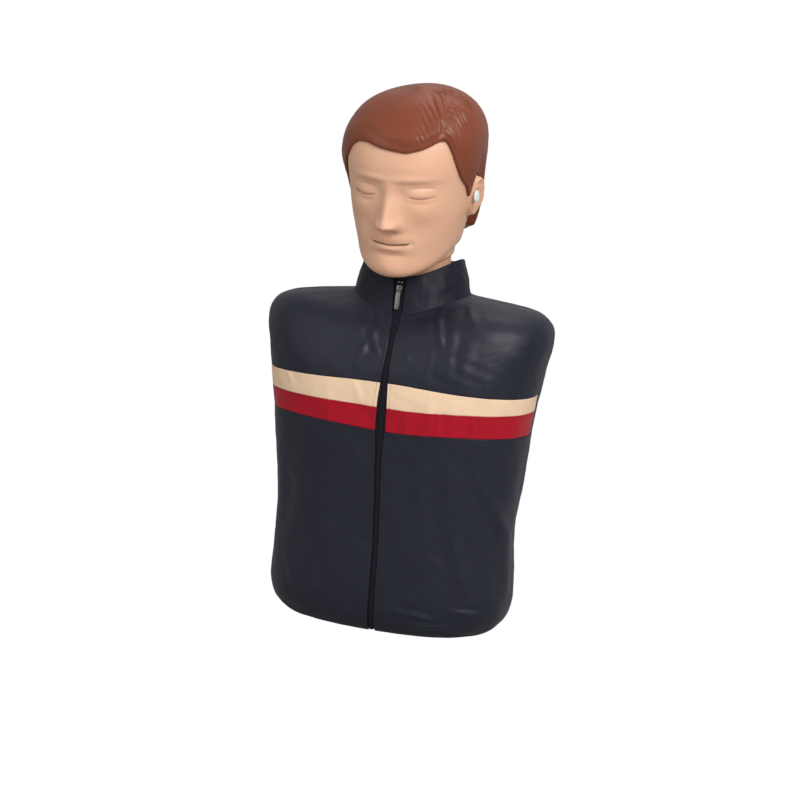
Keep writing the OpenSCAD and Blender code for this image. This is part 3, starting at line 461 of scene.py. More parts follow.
@dataclass(frozen=True)
class Finish:
    """The surface of one material of the manikin.

    Tone moves the base colour between dark and light by its spread, and masks painted on
    a mesh darken or redden it where the piece says so; the face's masks paint shade into
    its slits and creases besides the lips' and cheeks' own tint.
    """

    name: str
    slot: str
    colour: tuple[float, float, float]
    grain: Grain
    roughness: float = 0.5
    spread: float = 0.1
    bump: float = 0.1
    bump_mm: float = 0.05
    metallic: float = 0.0
    sheen: float = 0.0
    coat: float = 0.0
    soft: float = 0.0
    see_through: float = 0.0
    specular: float = 0.5
    pitch_mm: float = 0.5
    masks: tuple[tuple[str, tuple[float, float, float]], ...] = ()
    on_flow: bool = False

    def group_node(self, tree: Tree) -> bpy.types.Node:
        """Adds the group that this grain uses, with this finish's values."""
        makers = {
            Grain.WOVEN: woven_group,
            Grain.VINYL: mottled_group,
            Grain.MOULDED: mottled_group,
            Grain.FILM: mottled_group,
            Grain.STRANDS: strand_group,
            Grain.METAL: brushed_group,
        }
        node = tree.add("ShaderNodeGroup", node_tree=makers[self.grain]())
        if self.grain is Grain.WOVEN:
            node.inputs["Pitch"].default_value = self.pitch_mm * MM
        if self.grain is Grain.VINYL:
            node.inputs["Scale"].default_value = 35.0
            node.inputs["Grain"].default_value = 1600.0
        return node

    def build(self) -> bpy.types.Material:
        """Makes the Blender material, or finds it.

        Returns:
            The material, with its node tree.
        """
        known = bpy.data.materials.get(self.name)
        if known:
            return known
        made = bpy.data.materials.new(self.name)
        made.use_nodes = True
        tree = Tree(made.node_tree)
        shader = made.node_tree.nodes["Principled BSDF"]
        place = tree.add("ShaderNodeTexCoord")
        where = place.outputs["UV" if self.on_flow else "Object"]
        look = self.group_node(tree)
        tree.join(where, look.inputs["Vector"])
        ramp = tree.add("ShaderNodeMix", data_type="RGBA")
        dark = [max(0.0, c * (1 - self.spread)) for c in self.colour]
        light = [min(1.0, c * (1 + self.spread)) for c in self.colour]
        ramp.inputs["A"].default_value = (*dark, 1.0)
        ramp.inputs["B"].default_value = (*light, 1.0)
        tree.join(look.outputs["Tone"], ramp.inputs["Factor"])
        colour = ramp.outputs["Result"]
        for key, tint in self.masks:
            mask = tree.add("ShaderNodeAttribute", attribute_name=key)
            layer = tree.add("ShaderNodeMix", data_type="RGBA")
            tree.join(mask.outputs["Fac"], layer.inputs["Factor"])
            tree.join(colour, layer.inputs["A"])
            layer.inputs["B"].default_value = (*tint, 1.0)
            colour = layer.outputs["Result"]
        tree.join(colour, shader.inputs["Base Color"])
        rough = tree.math("MULTIPLY_ADD", look.outputs["Tone"], 0.12, self.roughness - 0.06)
        tree.join(rough, shader.inputs["Roughness"])
        bump = tree.add("ShaderNodeBump")
        bump.inputs["Strength"].default_value = self.bump
        bump.inputs["Distance"].default_value = self.bump_mm * MM
        tree.join(look.outputs["Height"], bump.inputs["Height"])
        tree.join(bump.outputs["Normal"], shader.inputs["Normal"])
        self.set_constants(shader)
        return made

    def set_constants(self, shader: bpy.types.Node) -> None:
        """Sets what is the same all over the surface on the shader's own sockets."""
        shader.inputs["Metallic"].default_value = self.metallic
        shader.inputs["Specular IOR Level"].default_value = self.specular
        shader.inputs["Sheen Weight"].default_value = self.sheen
        shader.inputs["Sheen Roughness"].default_value = 0.45
        shader.inputs["Coat Weight"].default_value = self.coat
        shader.inputs["Coat Roughness"].default_value = 0.25
        shader.inputs["Subsurface Weight"].default_value = self.soft
        shader.inputs["Subsurface Radius"].default_value = (1.0, 0.45, 0.25)
        shader.inputs["Subsurface Scale"].default_value = 0.003
        shader.inputs["Transmission Weight"].default_value = self.see_through


NAVY = Finish(
    "navy_taffeta", "jacket", (0.0118, 0.0132, 0.0240), Grain.WOVEN, 0.44, 0.25, 0.22, 0.04, sheen=0.02,
    specular=0.32, on_flow=True,
)
# Painted shade: the collar's taffeta is a darker copy of the jacket's navy, to paint the shade on the collar.
NAVY_COLLAR_SHADED = Finish(
    "navy_taffeta_collar_shaded", "collar", (0.0090, 0.0100, 0.0185), Grain.WOVEN, 0.52, 0.25, 0.22, 0.04,
    sheen=0.02, specular=0.20, on_flow=True,
)
CREAM = Finish(
    "cream_taffeta", "cream", (0.870, 0.625, 0.420), Grain.WOVEN, 0.60, 0.06, 0.22, 0.04,
    specular=0.3, on_flow=True,
)
RED = Finish(
    "crimson_taffeta", "red", (0.415, 0.0020, 0.0150), Grain.WOVEN, 0.36, 0.14, 0.22, 0.04,
    specular=0.25, on_flow=True,
)
# Painted shade in part: the tape is dark navy like the jacket, painted darker still for the shade in the
# zip's gap.
TAPE = Finish(
    "zip_tape_cloth", "tape", (0.0085, 0.0094, 0.0160), Grain.WOVEN, 0.80, 0.3, 0.5, 0.08,
    specular=0.2, pitch_mm=0.8, on_flow=True,
)
STITCH = Finish("sewing_thread", "jacket", (0.0100, 0.0112, 0.0185), Grain.MOULDED, 0.7, 0.2, specular=0.25)
# Painted shade in part: the coil teeth are dark like the tape, painted darker still for the shade in the
# zip's gap.
TEETH = Finish("coil_teeth", "teeth", (0.0090, 0.0096, 0.0150), Grain.MOULDED, 0.50, 0.2, specular=0.35)
# The face vinyl's masks: the near-black one is painted shade in the face's slits and nostrils, and the
# reddish one is the lips' and cheeks' own tint plus painted shade along the lids' creases and under the
# brows.
VINYL = Finish(
    "face_vinyl", "face", (0.800, 0.458, 0.295), Grain.VINYL, 0.47, 0.035, 0.12, 0.03, soft=0.18,
    masks=(("blush_and_painted_shade", (0.72, 0.33, 0.21)), ("dark", (0.045, 0.014, 0.010))),
)
NECK_VINYL = Finish(
    "neck_vinyl", "skin", (0.780, 0.455, 0.285), Grain.VINYL, 0.5, 0.035, 0.12, 0.03, soft=0.15,
)
HAIR = Finish(
    "moulded_hair", "hair", (0.214, 0.052, 0.022), Grain.STRANDS, 0.40, 0.14, 0.16, 0.12,
    specular=0.35, on_flow=True,
)
SHELL = Finish("moulded_shell", "shell", (0.80, 0.72, 0.62), Grain.MOULDED, 0.5, 0.03)
BASE = Finish("base_plastic", "base", (0.70, 0.70, 0.68), Grain.MOULDED, 0.55, 0.03)
NAPE = Finish("nape_shell", "shell", (0.780, 0.455, 0.285), Grain.MOULDED, 0.5, 0.03)
DARK = Finish("dark_plastic", "frame", (0.060, 0.061, 0.066), Grain.MOULDED, 0.45, 0.1)
WHITE = Finish("white_plastic", "white", (0.80, 0.80, 0.78), Grain.MOULDED, 0.42, 0.03)
PLUG = Finish("plug_plastic", "plug", (0.84, 0.84, 0.82), Grain.MOULDED, 0.35, 0.02)
STEEL = Finish("plain_steel", "steel", (0.56, 0.56, 0.57), Grain.METAL, 0.32, 0.08, metallic=1.0)
SPRING = Finish("spring_steel", "spring", (0.50, 0.50, 0.52), Grain.METAL, 0.28, 0.1, metallic=1.0)
NICKEL = Finish("zip_nickel", "zip_metal", (0.25, 0.235, 0.22), Grain.METAL, 0.30, 0.12, metallic=1.0)
FILM = Finish("airway_film", "airway", (0.55, 0.72, 0.80), Grain.FILM, 0.25, 0.05, see_through=0.4)

NODE_FINISH = {
    BASE: ["base_plate"],
    SHELL: ["back_shell", "skull_base", "skull", "jaw"],
    NAPE: ["head_back_shell"],
    NECK_VINYL: ["chest_skin", "neck_skin"],
    DARK: ["neck_bracket", "spring_barrel"],
    STEEL: ["bracket_screws", "barrel_screws", "plate_screws", "tilt_pin"],
    SPRING: ["compression_spring", "click_dome", "post_clip"],
    WHITE: ["plunger", "chest_plate", "neck_post"],
    FILM: ["lung_bag", "airway_hose", "mouth_tube", "throat_tube"],
}


def dress(piece: bpy.types.Object, finish: Finish) -> bpy.types.Object:
    """Gives a piece one finish."""
    piece.data.materials.clear()
    piece.data.materials.append(finish.build())
    return piece


def settle(piece: bpy.types.Object, finish: Finish, body: str, nodes: tuple[str, ...]) -> bpy.types.Object:
    """Dresses a piece, puts it on its body, and lets it stand for CAD nodes."""
    dress(piece, finish)
    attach(piece, body)
    if nodes:
        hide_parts(*nodes)
    triangles = sum(len(p.vertices) - 2 for p in piece.data.polygons)
    LOG.info("%s: %d triangles on %s", piece.name, triangles, body)
    return piece


# Torso and jacket


@dataclass(frozen=True)
class TorsoSizes:
    """Driving sizes of the torso, in millimetres."""

    base_w: float = 120
    hem_w: float = 159
    waist_w: float = 155
    rib_w: float = 166
    chest_w: float = 174
    shoulder_w: float = 184
    neck_seam_w: float = 70
    base_front: float = 70
    belly_front: float = 98
    chest_front: float = 109
    neck_seam_front: float = 64
    base_back: float = 64
    chest_back: float = 93
    neck_seam_back: float = 74
    hem_z: float = 42
    waist_z: float = 130
    red_z: float = 266
    stripe_seam_z: float = 300
    cream_z: float = 326
    shoulder_z: float = 384
    neck_seam_z: float = 428
    neck_dip: float = 23
    collar_h: float = 45
    collar_front_h: float = 44
    collar_w: float = 58
    collar_rise: float = 5
    jacket_ease: float = 1.6
    cloth: float = 1.6
    collar_t: float = 2.6
    skew: float = 0.13

    def rows(self) -> Array:
        """The torso's sections, and the two of the stand-up collar above them."""
        low = self.hem_z * 0.24
        mid = (self.waist_z + self.red_z) / 2
        torso = np.array([
            [0, 0, 0, self.base_w, self.base_front, self.base_back, 2.4],
            [low, low, low, (self.base_w + 2 * self.hem_w) / 3 - 1,
             (self.base_front + 2 * self.belly_front) / 3,
             (self.base_back + 2 * self.chest_back) / 3 - 5, 2.5],
            [self.hem_z, self.hem_z, self.hem_z, self.hem_w, self.belly_front, self.chest_back - 6, 2.6],
            [self.waist_z, self.waist_z, self.waist_z, self.waist_w,
             self.belly_front, self.chest_back - 5, 2.6],
            [mid, mid, mid, (self.waist_w + self.rib_w) / 2, (self.belly_front + self.chest_front) / 2 - 3,
             self.chest_back - 4, 2.6],
            [self.red_z, self.red_z, self.red_z, self.rib_w, self.chest_front - 4, self.chest_back - 2, 2.7],
            [self.stripe_seam_z, self.stripe_seam_z, self.stripe_seam_z, (self.rib_w + self.chest_w) / 2,
             self.chest_front, self.chest_back - 1, 2.7],
            [self.cream_z, self.cream_z, self.cream_z + 3, self.chest_w,
             self.chest_front - 1, self.chest_back, 2.7],
            [(self.cream_z + self.shoulder_z) / 2, self.cream_z + 20, self.cream_z + 30,
             (self.chest_w + self.shoulder_w) / 2, self.chest_front - 5, self.chest_back, 2.7],
            [self.shoulder_z, self.shoulder_z - 19, self.shoulder_z + 3, self.shoulder_w,
             self.chest_front - 13, self.chest_back - 2, 2.7],
            [self.shoulder_z + 20, self.shoulder_z - 2, self.shoulder_z + 25, self.shoulder_w - 3,
             self.neck_seam_front + 24, self.chest_back - 7, 2.6],
            [self.neck_seam_z - 11, self.neck_seam_z - self.neck_dip - 13, self.neck_seam_z - 7,
             self.shoulder_w - 21, self.neck_seam_front + 15, self.chest_back - 12, 2.45],
            [self.neck_seam_z - 5, self.neck_seam_z - self.neck_dip - 6, self.neck_seam_z,
             self.neck_seam_w + 48, self.neck_seam_front + 7, self.neck_seam_back + 3, 2.3],
            [self.neck_seam_z, self.neck_seam_z - self.neck_dip, self.neck_seam_z + 6, self.neck_seam_w,
             self.neck_seam_front, self.neck_seam_back, 2.05],
        ])
        rise = self.collar_rise
        top = np.array([
            self.neck_seam_z + self.collar_h + rise,
            self.neck_seam_z - self.neck_dip + self.collar_front_h + rise,
            self.neck_seam_z - 4 + self.collar_h, self.collar_w,
            self.neck_seam_front - 8 * (1 + rise / self.collar_front_h), self.neck_seam_back - 4, 2.05,
        ])
        middle = (torso[-1] + top) / 2
        middle[3] += 2.5
        return np.vstack([torso, middle, top])


@dataclass(frozen=True)
class Fold:
    """A crease of the jacket's front: its ends in x and z, its bow, width and height."""

    x0: float
    z0: float
    x1: float
    z1: float
    width: float
    height: float
    bow: float = 0.0

    def lift(self, x: Array, z: Array) -> Array:
        """Height of a rounded crest with a shallow valley along each side.

        The crest follows the line between the ends, bent sideways by bow at its middle,
        and dies out towards both ends.
        """
        start = np.array([self.x0, self.z0])
        way = np.array([self.x1, self.z1]) - start
        long = np.linalg.norm(way)
        along = ((x - start[0]) * way[0] + (z - start[1]) * way[1]) / long**2
        across = ((x - start[0]) * -way[1] + (z - start[1]) * way[0]) / long
        inside = np.clip(along, 0, 1)
        beyond = np.abs(along - inside) * long
        off = across - self.bow * np.sin(math.pi * inside)
        crest = bell(off, 0, self.width) - 0.45 * bell(off, 1.9 * self.width, self.width)
        crest = crest - 0.3 * bell(off, -2.1 * self.width, 1.1 * self.width)
        taper = 0.25 + 0.75 * np.sin(math.pi * inside)
        return self.height * crest * taper * bell(beyond, 0, 1.4 * self.width)


FOLDS = (
    Fold(70, 394, 84, 336, 5.0, 1.0, 3), Fold(104, 388, 100, 330, 7.5, 1.0, -3),
    Fold(57, 376, 50, 330, 4.5, 1.0, 2), Fold(-26, 374, -36, 324, 4.0, 1.6, -3),
    Fold(-52, 396, -22, 352, 6.5, 1.0, 4), Fold(128, 212, 80, 62, 7.0, 1.2, 8),
    Fold(98, 150, 132, 48, 6.5, 2.0, -5), Fold(34, 37, 88, 29, 3.5, 1.8, 2),
    Fold(54, 22, 108, 25, 3.0, 1.4, -2), Fold(-104, 250, -112, 120, 9.0, 1.4, 6),
    Fold(-60, 212, -48, 60, 9.0, 1.2, -6), Fold(-140, 226, -148, 92, 8.0, 1.4, 4),
    Fold(20, 340, 34, 384, 4.0, 0.8, -2), Fold(130, 340, 122, 300, 5.0, 1.2, 2),
    Fold(62, 318, 60, 268, 4.5, 1.0, 2), Fold(96, 306, 92, 262, 5.0, 1.1, -2),
    Fold(-70, 316, -66, 262, 5.0, 0.9, 2), Fold(36, 298, 33, 250, 4.0, 1.0, 1),
    Fold(44, 240, 66, 120, 8.0, 1.3, 6), Fold(118, 250, 122, 190, 6.0, 1.3, 3),
    Fold(-24, 250, -30, 150, 7.0, 1.1, -4), Fold(-86, 100, -70, 30, 7.0, 1.2, 4),
    Fold(-120, 90, -92, 34, 6.0, 1.3, -3), Fold(60, 70, 36, 26, 6.0, 1.3, 3),
    Fold(36, 417, 62, 414, 3.0, 2.5), Fold(56, 409, 70, 371, 3.6, 2.9, 1),
    Fold(79, 401, 85, 372, 4.5, 1.2, -1), Fold(-28, 403, -4, 350, 4.0, 3.0, -3),
    Fold(124, 216, 160, 60, 5.0, 3.6, 10), Fold(104, 43, 138, 40, 3.2, 1.7),
    Fold(91, 21, 126, 13, 3.0, 1.4), Fold(91, 226, 93, 180, 4.5, 1.4),
    Fold(75, 299, 73, 269, 2.2, 2.2), Fold(114, 296, 116, 270, 2.2, 2.2),
    Fold(137, 293, 139, 267, 2.4, 2.2), Fold(-130, 326, -121, 309, 3.5, 1.4),
    Fold(-34, 323, -25, 301, 3.4, 1.3), Fold(86, 422, 104, 404, 4.0, 1.6),
)

ZIP_LINE = np.array([
    [0.3, 1.5, 4.4], [1.3, 3.5, 4.2], [2.7, 4.0, 3.8], [3.6, 2.6, 3.8], [4.5, 1.0, 4.2], [5.1, 2.0, 6.6],
    [6.0, 3.0, 6.4], [7.0, 3.6, 5.0], [8.9, 4.2, 3.3], [11.0, 3.2, 4.8], [13.1, 1.2, 6.2], [14.0, 0, 7.0],
    [15.0, 0, 7.5],
])


class Jacket:
    """The sleeveless jacket: its panels, stripes, collar, hem, stitches and zip."""

    V_HEM = 0.3
    V_BAND = 1.3
    V_RED = 5.0
    V_SEAM = 6.0
    V_CREAM = 7.0
    V_ARM_LOW = 7.1
    V_ARM_HIGH = 10.4
    V_NECK = 13
    V_TOP = 15.0
    SIDE_SEAM = 90.0
    ARM_HALF = 19.0
    ASPECT = 1.6
    TAPE_HALF = 14.0
    TAPE_IN = 0.5
    TAPE_T = 0.7
    TOOTH_T = 1.5
    EDGE = 0.8

    def __init__(self, sizes: TorsoSizes) -> None:
        """Keeps the sizes and the form that the panels lie on."""
        self.sizes = sizes
        self.loft = Loft(
            sizes.rows(), self.V_NECK,
            lambda a, v: v + self.sag(np.sin(np.radians(a)), v),
            lambda v: 0.03 + 0.13 * bell(v, self.V_NECK, 0.35),
        )
        self.pieces: dict[str, bpy.types.Object] = {}

    def along(self, a0: Array, a1: Array, i: Array) -> Array:
        """Bearing at share i from a0 to a1, in steps of about one length on the form."""
        def flat(a: Array) -> Array:
            r = np.radians(a)
            return np.arctan2(np.sin(r), self.ASPECT * np.cos(r))

        t = mix(flat(a0), flat(a1), i)
        return np.degrees(np.arctan2(self.ASPECT * np.sin(t), np.cos(t)))

    def bearing(self, x: float | Array, v: Array) -> Array:
        """Bearing at which the front is x away from the middle."""
        return np.degrees(np.arctan(x / self.loft.section(v)[..., 4]))

    def sag(self, s: Array, v: Array) -> Array:
        """How far the level lines stray at bearings of sine s: the stripes hang unevenly.

        All lines near the stripes slope towards the left, and each of the stripes' three
        seams has its own shift at the sides and in the middle.
        """
        right, left = smooth(s, 0.15, 1), smooth(-s, 0.15, 1)
        seam = -0.15 * (1 - smooth(s, 0.3, 1)) * bell(v, self.V_SEAM, 0.45)
        top = (-0.25 * right - 0.15 * left) * bell(v, self.V_CREAM, 0.45)
        foot = (0.12 * right + 0.06 * left) * bell(v, self.V_RED, 0.45)
        return seam + top + foot - self.sizes.skew * s * bell(v, 6, 2.2)

    @staticmethod
    def zip_line(v: Array) -> tuple[Array, Array]:
        """The zip's distance from the middle and half its open width, at section v."""
        k = np.clip(np.searchsorted(ZIP_LINE[:, 0], v) - 1, 0, len(ZIP_LINE) - 2)
        share = (v - ZIP_LINE[k, 0]) / (ZIP_LINE[k + 1, 0] - ZIP_LINE[k, 0])
        row = mix(ZIP_LINE[k], ZIP_LINE[k + 1], smooth(share, 0, 1)[..., None])
        return row[..., 1], row[..., 2]

    def arm_edge(self, v: Array) -> Array:
        """Half the armhole's width as a bearing: a rounded slot over its sections."""
        share = np.clip((v - self.V_ARM_LOW) / (self.V_ARM_HIGH - self.V_ARM_LOW), 0, 1)
        return self.ARM_HALF * np.maximum(0, np.sin(math.pi * share)) ** 0.62

    def front_at(self, i: Array, v: Array, side: int = 1) -> Array:
        """Bearing at share i of a front panel, from the zip to the side seam."""
        middle, half = self.zip_line(v)
        seam = self.SIDE_SEAM - 0.04
        return self.along(self.bearing(half + side * middle, v), seam, i) - self.arm_edge(v) * i**4

    def back_at(self, i: Array, v: Array) -> Array:
        """Bearing at share i of the back panel, from side seam to side seam."""
        seam = self.SIDE_SEAM - 0.04
        return 180 + self.along(-seam, seam, i) + self.arm_edge(v) * ((1 - i) ** 4 - i**4)

    def arm_at(self, i: Array, v: Array) -> Array:
        """Bearing at share i of the right armhole panel."""
        return self.SIDE_SEAM + (2 * i - 1) * np.maximum(0, self.arm_edge(v) - 0.12)

    def crease(self, p: Array, a: Array, v: Array) -> Array:
        """Height of the cloth's creases over its plain form.

        The front has the folds of the list, and all of it has soft waves that die out at
        the collar's seam, under the stripes' bindings and beside the zip.
        """
        x, z = p[..., 0], p[..., 2]
        front = smooth(-p[..., 1], 0, 30)
        folds = sum(f.lift(x, z) for f in FOLDS)
        girth = np.radians(a) * 150
        waves = 0.55 * ripple(girth, 0.55 * z, 11, 95) + 0.22 * ripple(girth, z, 23, 38)
        calm = (1 - smooth(v, self.V_NECK - 1, self.V_NECK)) * smooth(v, 0.2, 1.2)
        below_yoke = 1 - smooth(v, self.V_CREAM, self.V_CREAM + 0.2)
        stripes = 1 - 0.15 * smooth(v, self.V_RED - 0.2, self.V_RED) * below_yoke
        middle, half = self.zip_line(v)
        off = np.abs(x - middle)
        near_zip = smooth(off, half, half + 12) * front + 1 - front
        pucker = 0.5 * np.sin(z / 5.2 + 0.9 * np.sin(z / 21)) * bell(off, half + 7, 7) * front
        collar = 0.4 * ripple(girth, z, 31, 55) * smooth(v, self.V_NECK, self.V_NECK + 0.6) * near_zip
        return calm * (near_zip * (front * folds * stripes + waves) + pucker * stripes) + collar

    def outward(self, a: Array, v: Array) -> Array:
        """The jacket's outward direction, turned gently round the corner under the collar."""
        return self.loft.normal(a, v, self.V_HEM, self.V_TOP)

    def surface(self, a: Array, v: Array, t: Array) -> Array:
        """The jacket's point at bearing a of section v, lifted by t.

        Within some 9 mm of the collar's seam the cloth spans the corner, so it lies up to
        3 mm further out there.
        """
        p = self.loft.point(a, v)
        span = 3.0 * bell(np.linalg.norm(p - self.loft.point(a, self.V_NECK), axis=-1), 0, 9)
        return p + (t + span + self.crease(p, a, v))[..., None] * self.outward(a, v)

    def panel(
        self, name: str, at: Callable[[Array, Array], Array], lo: float, hi: float, count: tuple[int, int],
        lift: float, thick: float, finish: Finish, rounded: bool = True, foot: float = 0.0,
    ) -> bpy.types.Object:
        """A cloth panel with rounded edges, between two sections.

        Args:
            name: Name of the piece and of the node that it stands for.
            at: Bearing at a share across and a section.
            lo: Lowest section.
            hi: Highest section.
            count: Steps across and upwards.
            lift: Space between the form and the panel's inner face.
            thick: Thickness of the cloth.
            finish: Its finish.
            rounded: Whether the edges are rounded.
            foot: How much thinner the cloth is at its lowest section.

        Returns:
            The piece.
        """
        mid_v = np.full(200, (lo + hi) / 2)
        girth = self.loft.point(at(np.linspace(0, 1, 200), mid_v), mid_v)
        width = np.linalg.norm(np.diff(girth, axis=0), axis=1).sum()
        up = self.loft.point(at(np.full(200, 0.4), np.linspace(lo, hi, 200)), np.linspace(lo, hi, 200))
        height = np.linalg.norm(np.diff(up, axis=0), axis=1).sum()
        radius = self.EDGE if rounded else 0.05
        i = edge_shares(count[0], width, radius)
        j = edge_shares(count[1], height, radius)
        fall = np.minimum(edge_fall(i, width, radius)[None], edge_fall(j, height, radius)[:, None])
        a_grid, v_grid = np.meshgrid(i, mix(lo, hi, j))
        bearings = at(a_grid, v_grid)
        half = (thick - foot * (1 - smooth(v_grid, lo, lo + 0.5))) / 2
        outer = self.surface(bearings, v_grid, lift + half * (1 + fall))
        inner = self.surface(bearings, v_grid, lift + half * (1 - fall))
        points, faces = shell(outer, inner)
        step_u = np.linalg.norm(np.diff(outer, axis=1, prepend=outer[:, :1]), axis=-1).cumsum(1)
        step_v = np.linalg.norm(np.diff(outer, axis=0, prepend=outer[:1]), axis=-1).cumsum(0)
        flow = np.stack([step_u - step_u.mean(1, keepdims=True), step_v], -1)
        made = Mesh(points, faces, np.concatenate([flow.reshape(-1, 2)] * 2)).build(name)
        settle(made, finish, "torso", (name,))
        self.pieces[name] = made
        return made

    @staticmethod
    def area(grid: Array) -> float:
        """Area of a grid of points, by the cross product of each cell's diagonals."""
        d1 = grid[1:, 1:] - grid[:-1, :-1]
        d2 = grid[1:, :-1] - grid[:-1, 1:]
        return 0.5 * np.linalg.norm(np.cross(d1, d2), axis=-1).sum()

    def both(self, part: str, lo: float, hi: float, count: tuple[int, int], finish: Finish) -> None:
        """The right and left panels of one front part."""
        s = self.sizes
        self.panel(f"{part}_right", self.front_at, lo, hi, count, s.jacket_ease, s.cloth, finish)
        self.panel(f"{part}_left", lambda i, v: -self.front_at(1 - i, v, -1), lo, hi, count, s.jacket_ease,
                   s.cloth, finish)

    def build_cloth(self) -> None:
        """Makes every cloth panel."""
        s = self.sizes
        self.both("jacket_yoke", self.V_CREAM + 0.002, self.V_NECK - 0.015, (90, 90), NAVY)
        self.both("cream_stripe", self.V_SEAM + 0.002, self.V_CREAM - 0.002, (90, 16), CREAM)
        self.both("red_stripe", self.V_RED + 0.002, self.V_SEAM - 0.002, (90, 18), RED)
        self.both("jacket_front", self.V_BAND + 0.004, self.V_RED - 0.002, (90, 110), NAVY)
        self.panel("jacket_back", self.back_at, self.V_BAND + 0.004, self.V_NECK - 0.015, (130, 150),
                   s.jacket_ease, s.cloth, NAVY)
        self.panel("armhole_panel_right", self.arm_at, self.V_ARM_LOW + 0.01, self.V_ARM_HIGH - 0.01,
                   (26, 40), s.jacket_ease, s.cloth, NAVY)
        self.panel("armhole_panel_left", lambda i, v: -self.arm_at(1 - i, v), self.V_ARM_LOW + 0.01,
                   self.V_ARM_HIGH - 0.01, (26, 40), s.jacket_ease, s.cloth, NAVY)
        self.panel("collar", self.round_at, self.V_NECK + 0.015, self.V_TOP, (170, 40),
                   s.jacket_ease, s.collar_t, NAVY_COLLAR_SHADED, foot=s.collar_t - s.cloth)
        self.panel("hem_band", self.round_at, self.V_HEM, self.V_BAND, (220, 26), 1.4, s.cloth, NAVY)

    def round_at(self, i: Array, v: Array) -> Array:
        """Bearing at share i of a band that goes all round, from one side of the zip to the other."""
        middle, half = self.zip_line(v)
        return mix(self.bearing(half + middle, v), 360 - self.bearing(half - middle, v), i)

    def tape_piece(self, side: int, name: str) -> None:
        """One zip tape, under the front edges."""
        def at(i: Array, v: Array) -> Array:
            x = mix(0.2, self.TAPE_HALF, i if side > 0 else 1 - i) + side * self.zip_line(v)[0]
            return side * self.bearing(x, v)

        self.panel(name, at, self.V_HEM + 0.02, self.V_TOP - 0.04, (8, 190),
                   self.TAPE_IN, self.TAPE_T, TAPE, False)

    def middle_line(self, lift: float) -> tuple[Array, Array, Array]:
        """The zip's own line up the front, its directions and its outward directions."""
        v = np.linspace(self.V_HEM + 0.25, self.V_TOP - 0.22, 4000)
        a = self.bearing(self.zip_line(v)[0], v)
        line = self.surface(a, v, np.full_like(v, lift))
        return line, unit(np.gradient(line, axis=0)), self.outward(a, v)

    def teeth_piece(self, side: int, name: str) -> None:
        """One row of coil teeth: a small rounded loop of thread at each pitch of the zip.

        Each tooth is a swept arch, [x, lift] = [-0.45 + 3.25 s, 0.25 + 0.85 sin(pi s) ^ 0.6]
        for s from 0 to 1, and the two rows are half a pitch apart.
        """
        pitch, wire = 1.6, 0.92
        line, way, out = self.middle_line(self.TAPE_IN + self.TAPE_T)
        run = np.linalg.norm(np.diff(line, axis=0, prepend=line[:1]), axis=1).cumsum()
        stops = np.arange(2.0 + (0.5 * pitch if side > 0 else 0), run[-1] - 2.0, pitch)
        pick = np.searchsorted(run, stops)
        s = np.linspace(0, 1, 6)
        arch_x = -0.45 + 3.25 * s
        arch_h = 0.25 + 0.85 * np.sin(math.pi * s) ** 0.6
        ring = round_outline(wire, wire, 2.4, 6)
        ends = 0.55 + 0.45 * np.sin(math.pi * np.clip(s * 1.1, 0, 1)) ** 0.5
        local = np.stack([
            np.repeat((side * arch_x)[:, None], 6, 1),
            arch_h[:, None] + ring[None, :, 0] * ends[:, None] * 0.8,
            ring[None, :, 1] * ends[:, None],
        ], -1).reshape(-1, 3)
        across = np.array([1.0, 0, 0])
        points = line[pick][:, None] + local[None, :, 0, None] * across \
            + local[None, :, 1, None] * out[pick][:, None] + local[None, :, 2, None] * way[pick][:, None]
        one = np.array(quads(6, 6, ring=True, flip=side > 0))
        caps = [list(range(6)), list(range(30, 36))[::-1]]
        if side > 0:
            caps = [c[::-1] for c in caps]
        faces: list[list[int]] = []
        shifts = np.arange(len(pick)) * 36
        faces += (one[None] + shifts[:, None, None]).reshape(-1, 4).tolist()
        for cap in caps:
            faces += (np.array(cap)[None] + shifts[:, None]).tolist()
        made = Mesh(points.reshape(-1, 3), faces).build(name, weld=False)
        settle(made, TEETH, "torso", (name,))

    def stitch_rows(self) -> list[tuple[Array, Array]]:
        """Bearings and sections of every row of top stitching."""
        rows: list[tuple[Array, Array]] = []
        v_front = np.linspace(self.V_BAND + 0.1, self.V_NECK - 0.15, 2600)
        middle, half = self.zip_line(v_front)
        for side in (1, -1):
            rows.append((side * self.bearing(half + 4.0 + side * middle, v_front), v_front))
            i = np.linspace(0.02, 0.985, 1500)
            for v, shift in ((self.V_CREAM, 0.09), (self.V_SEAM, 0.0), (self.V_RED, -0.05)):
                level = np.full_like(i, v + shift if shift else v - 0.06)
                rows.append((side * self.front_at(i, level, side), level))
        return rows

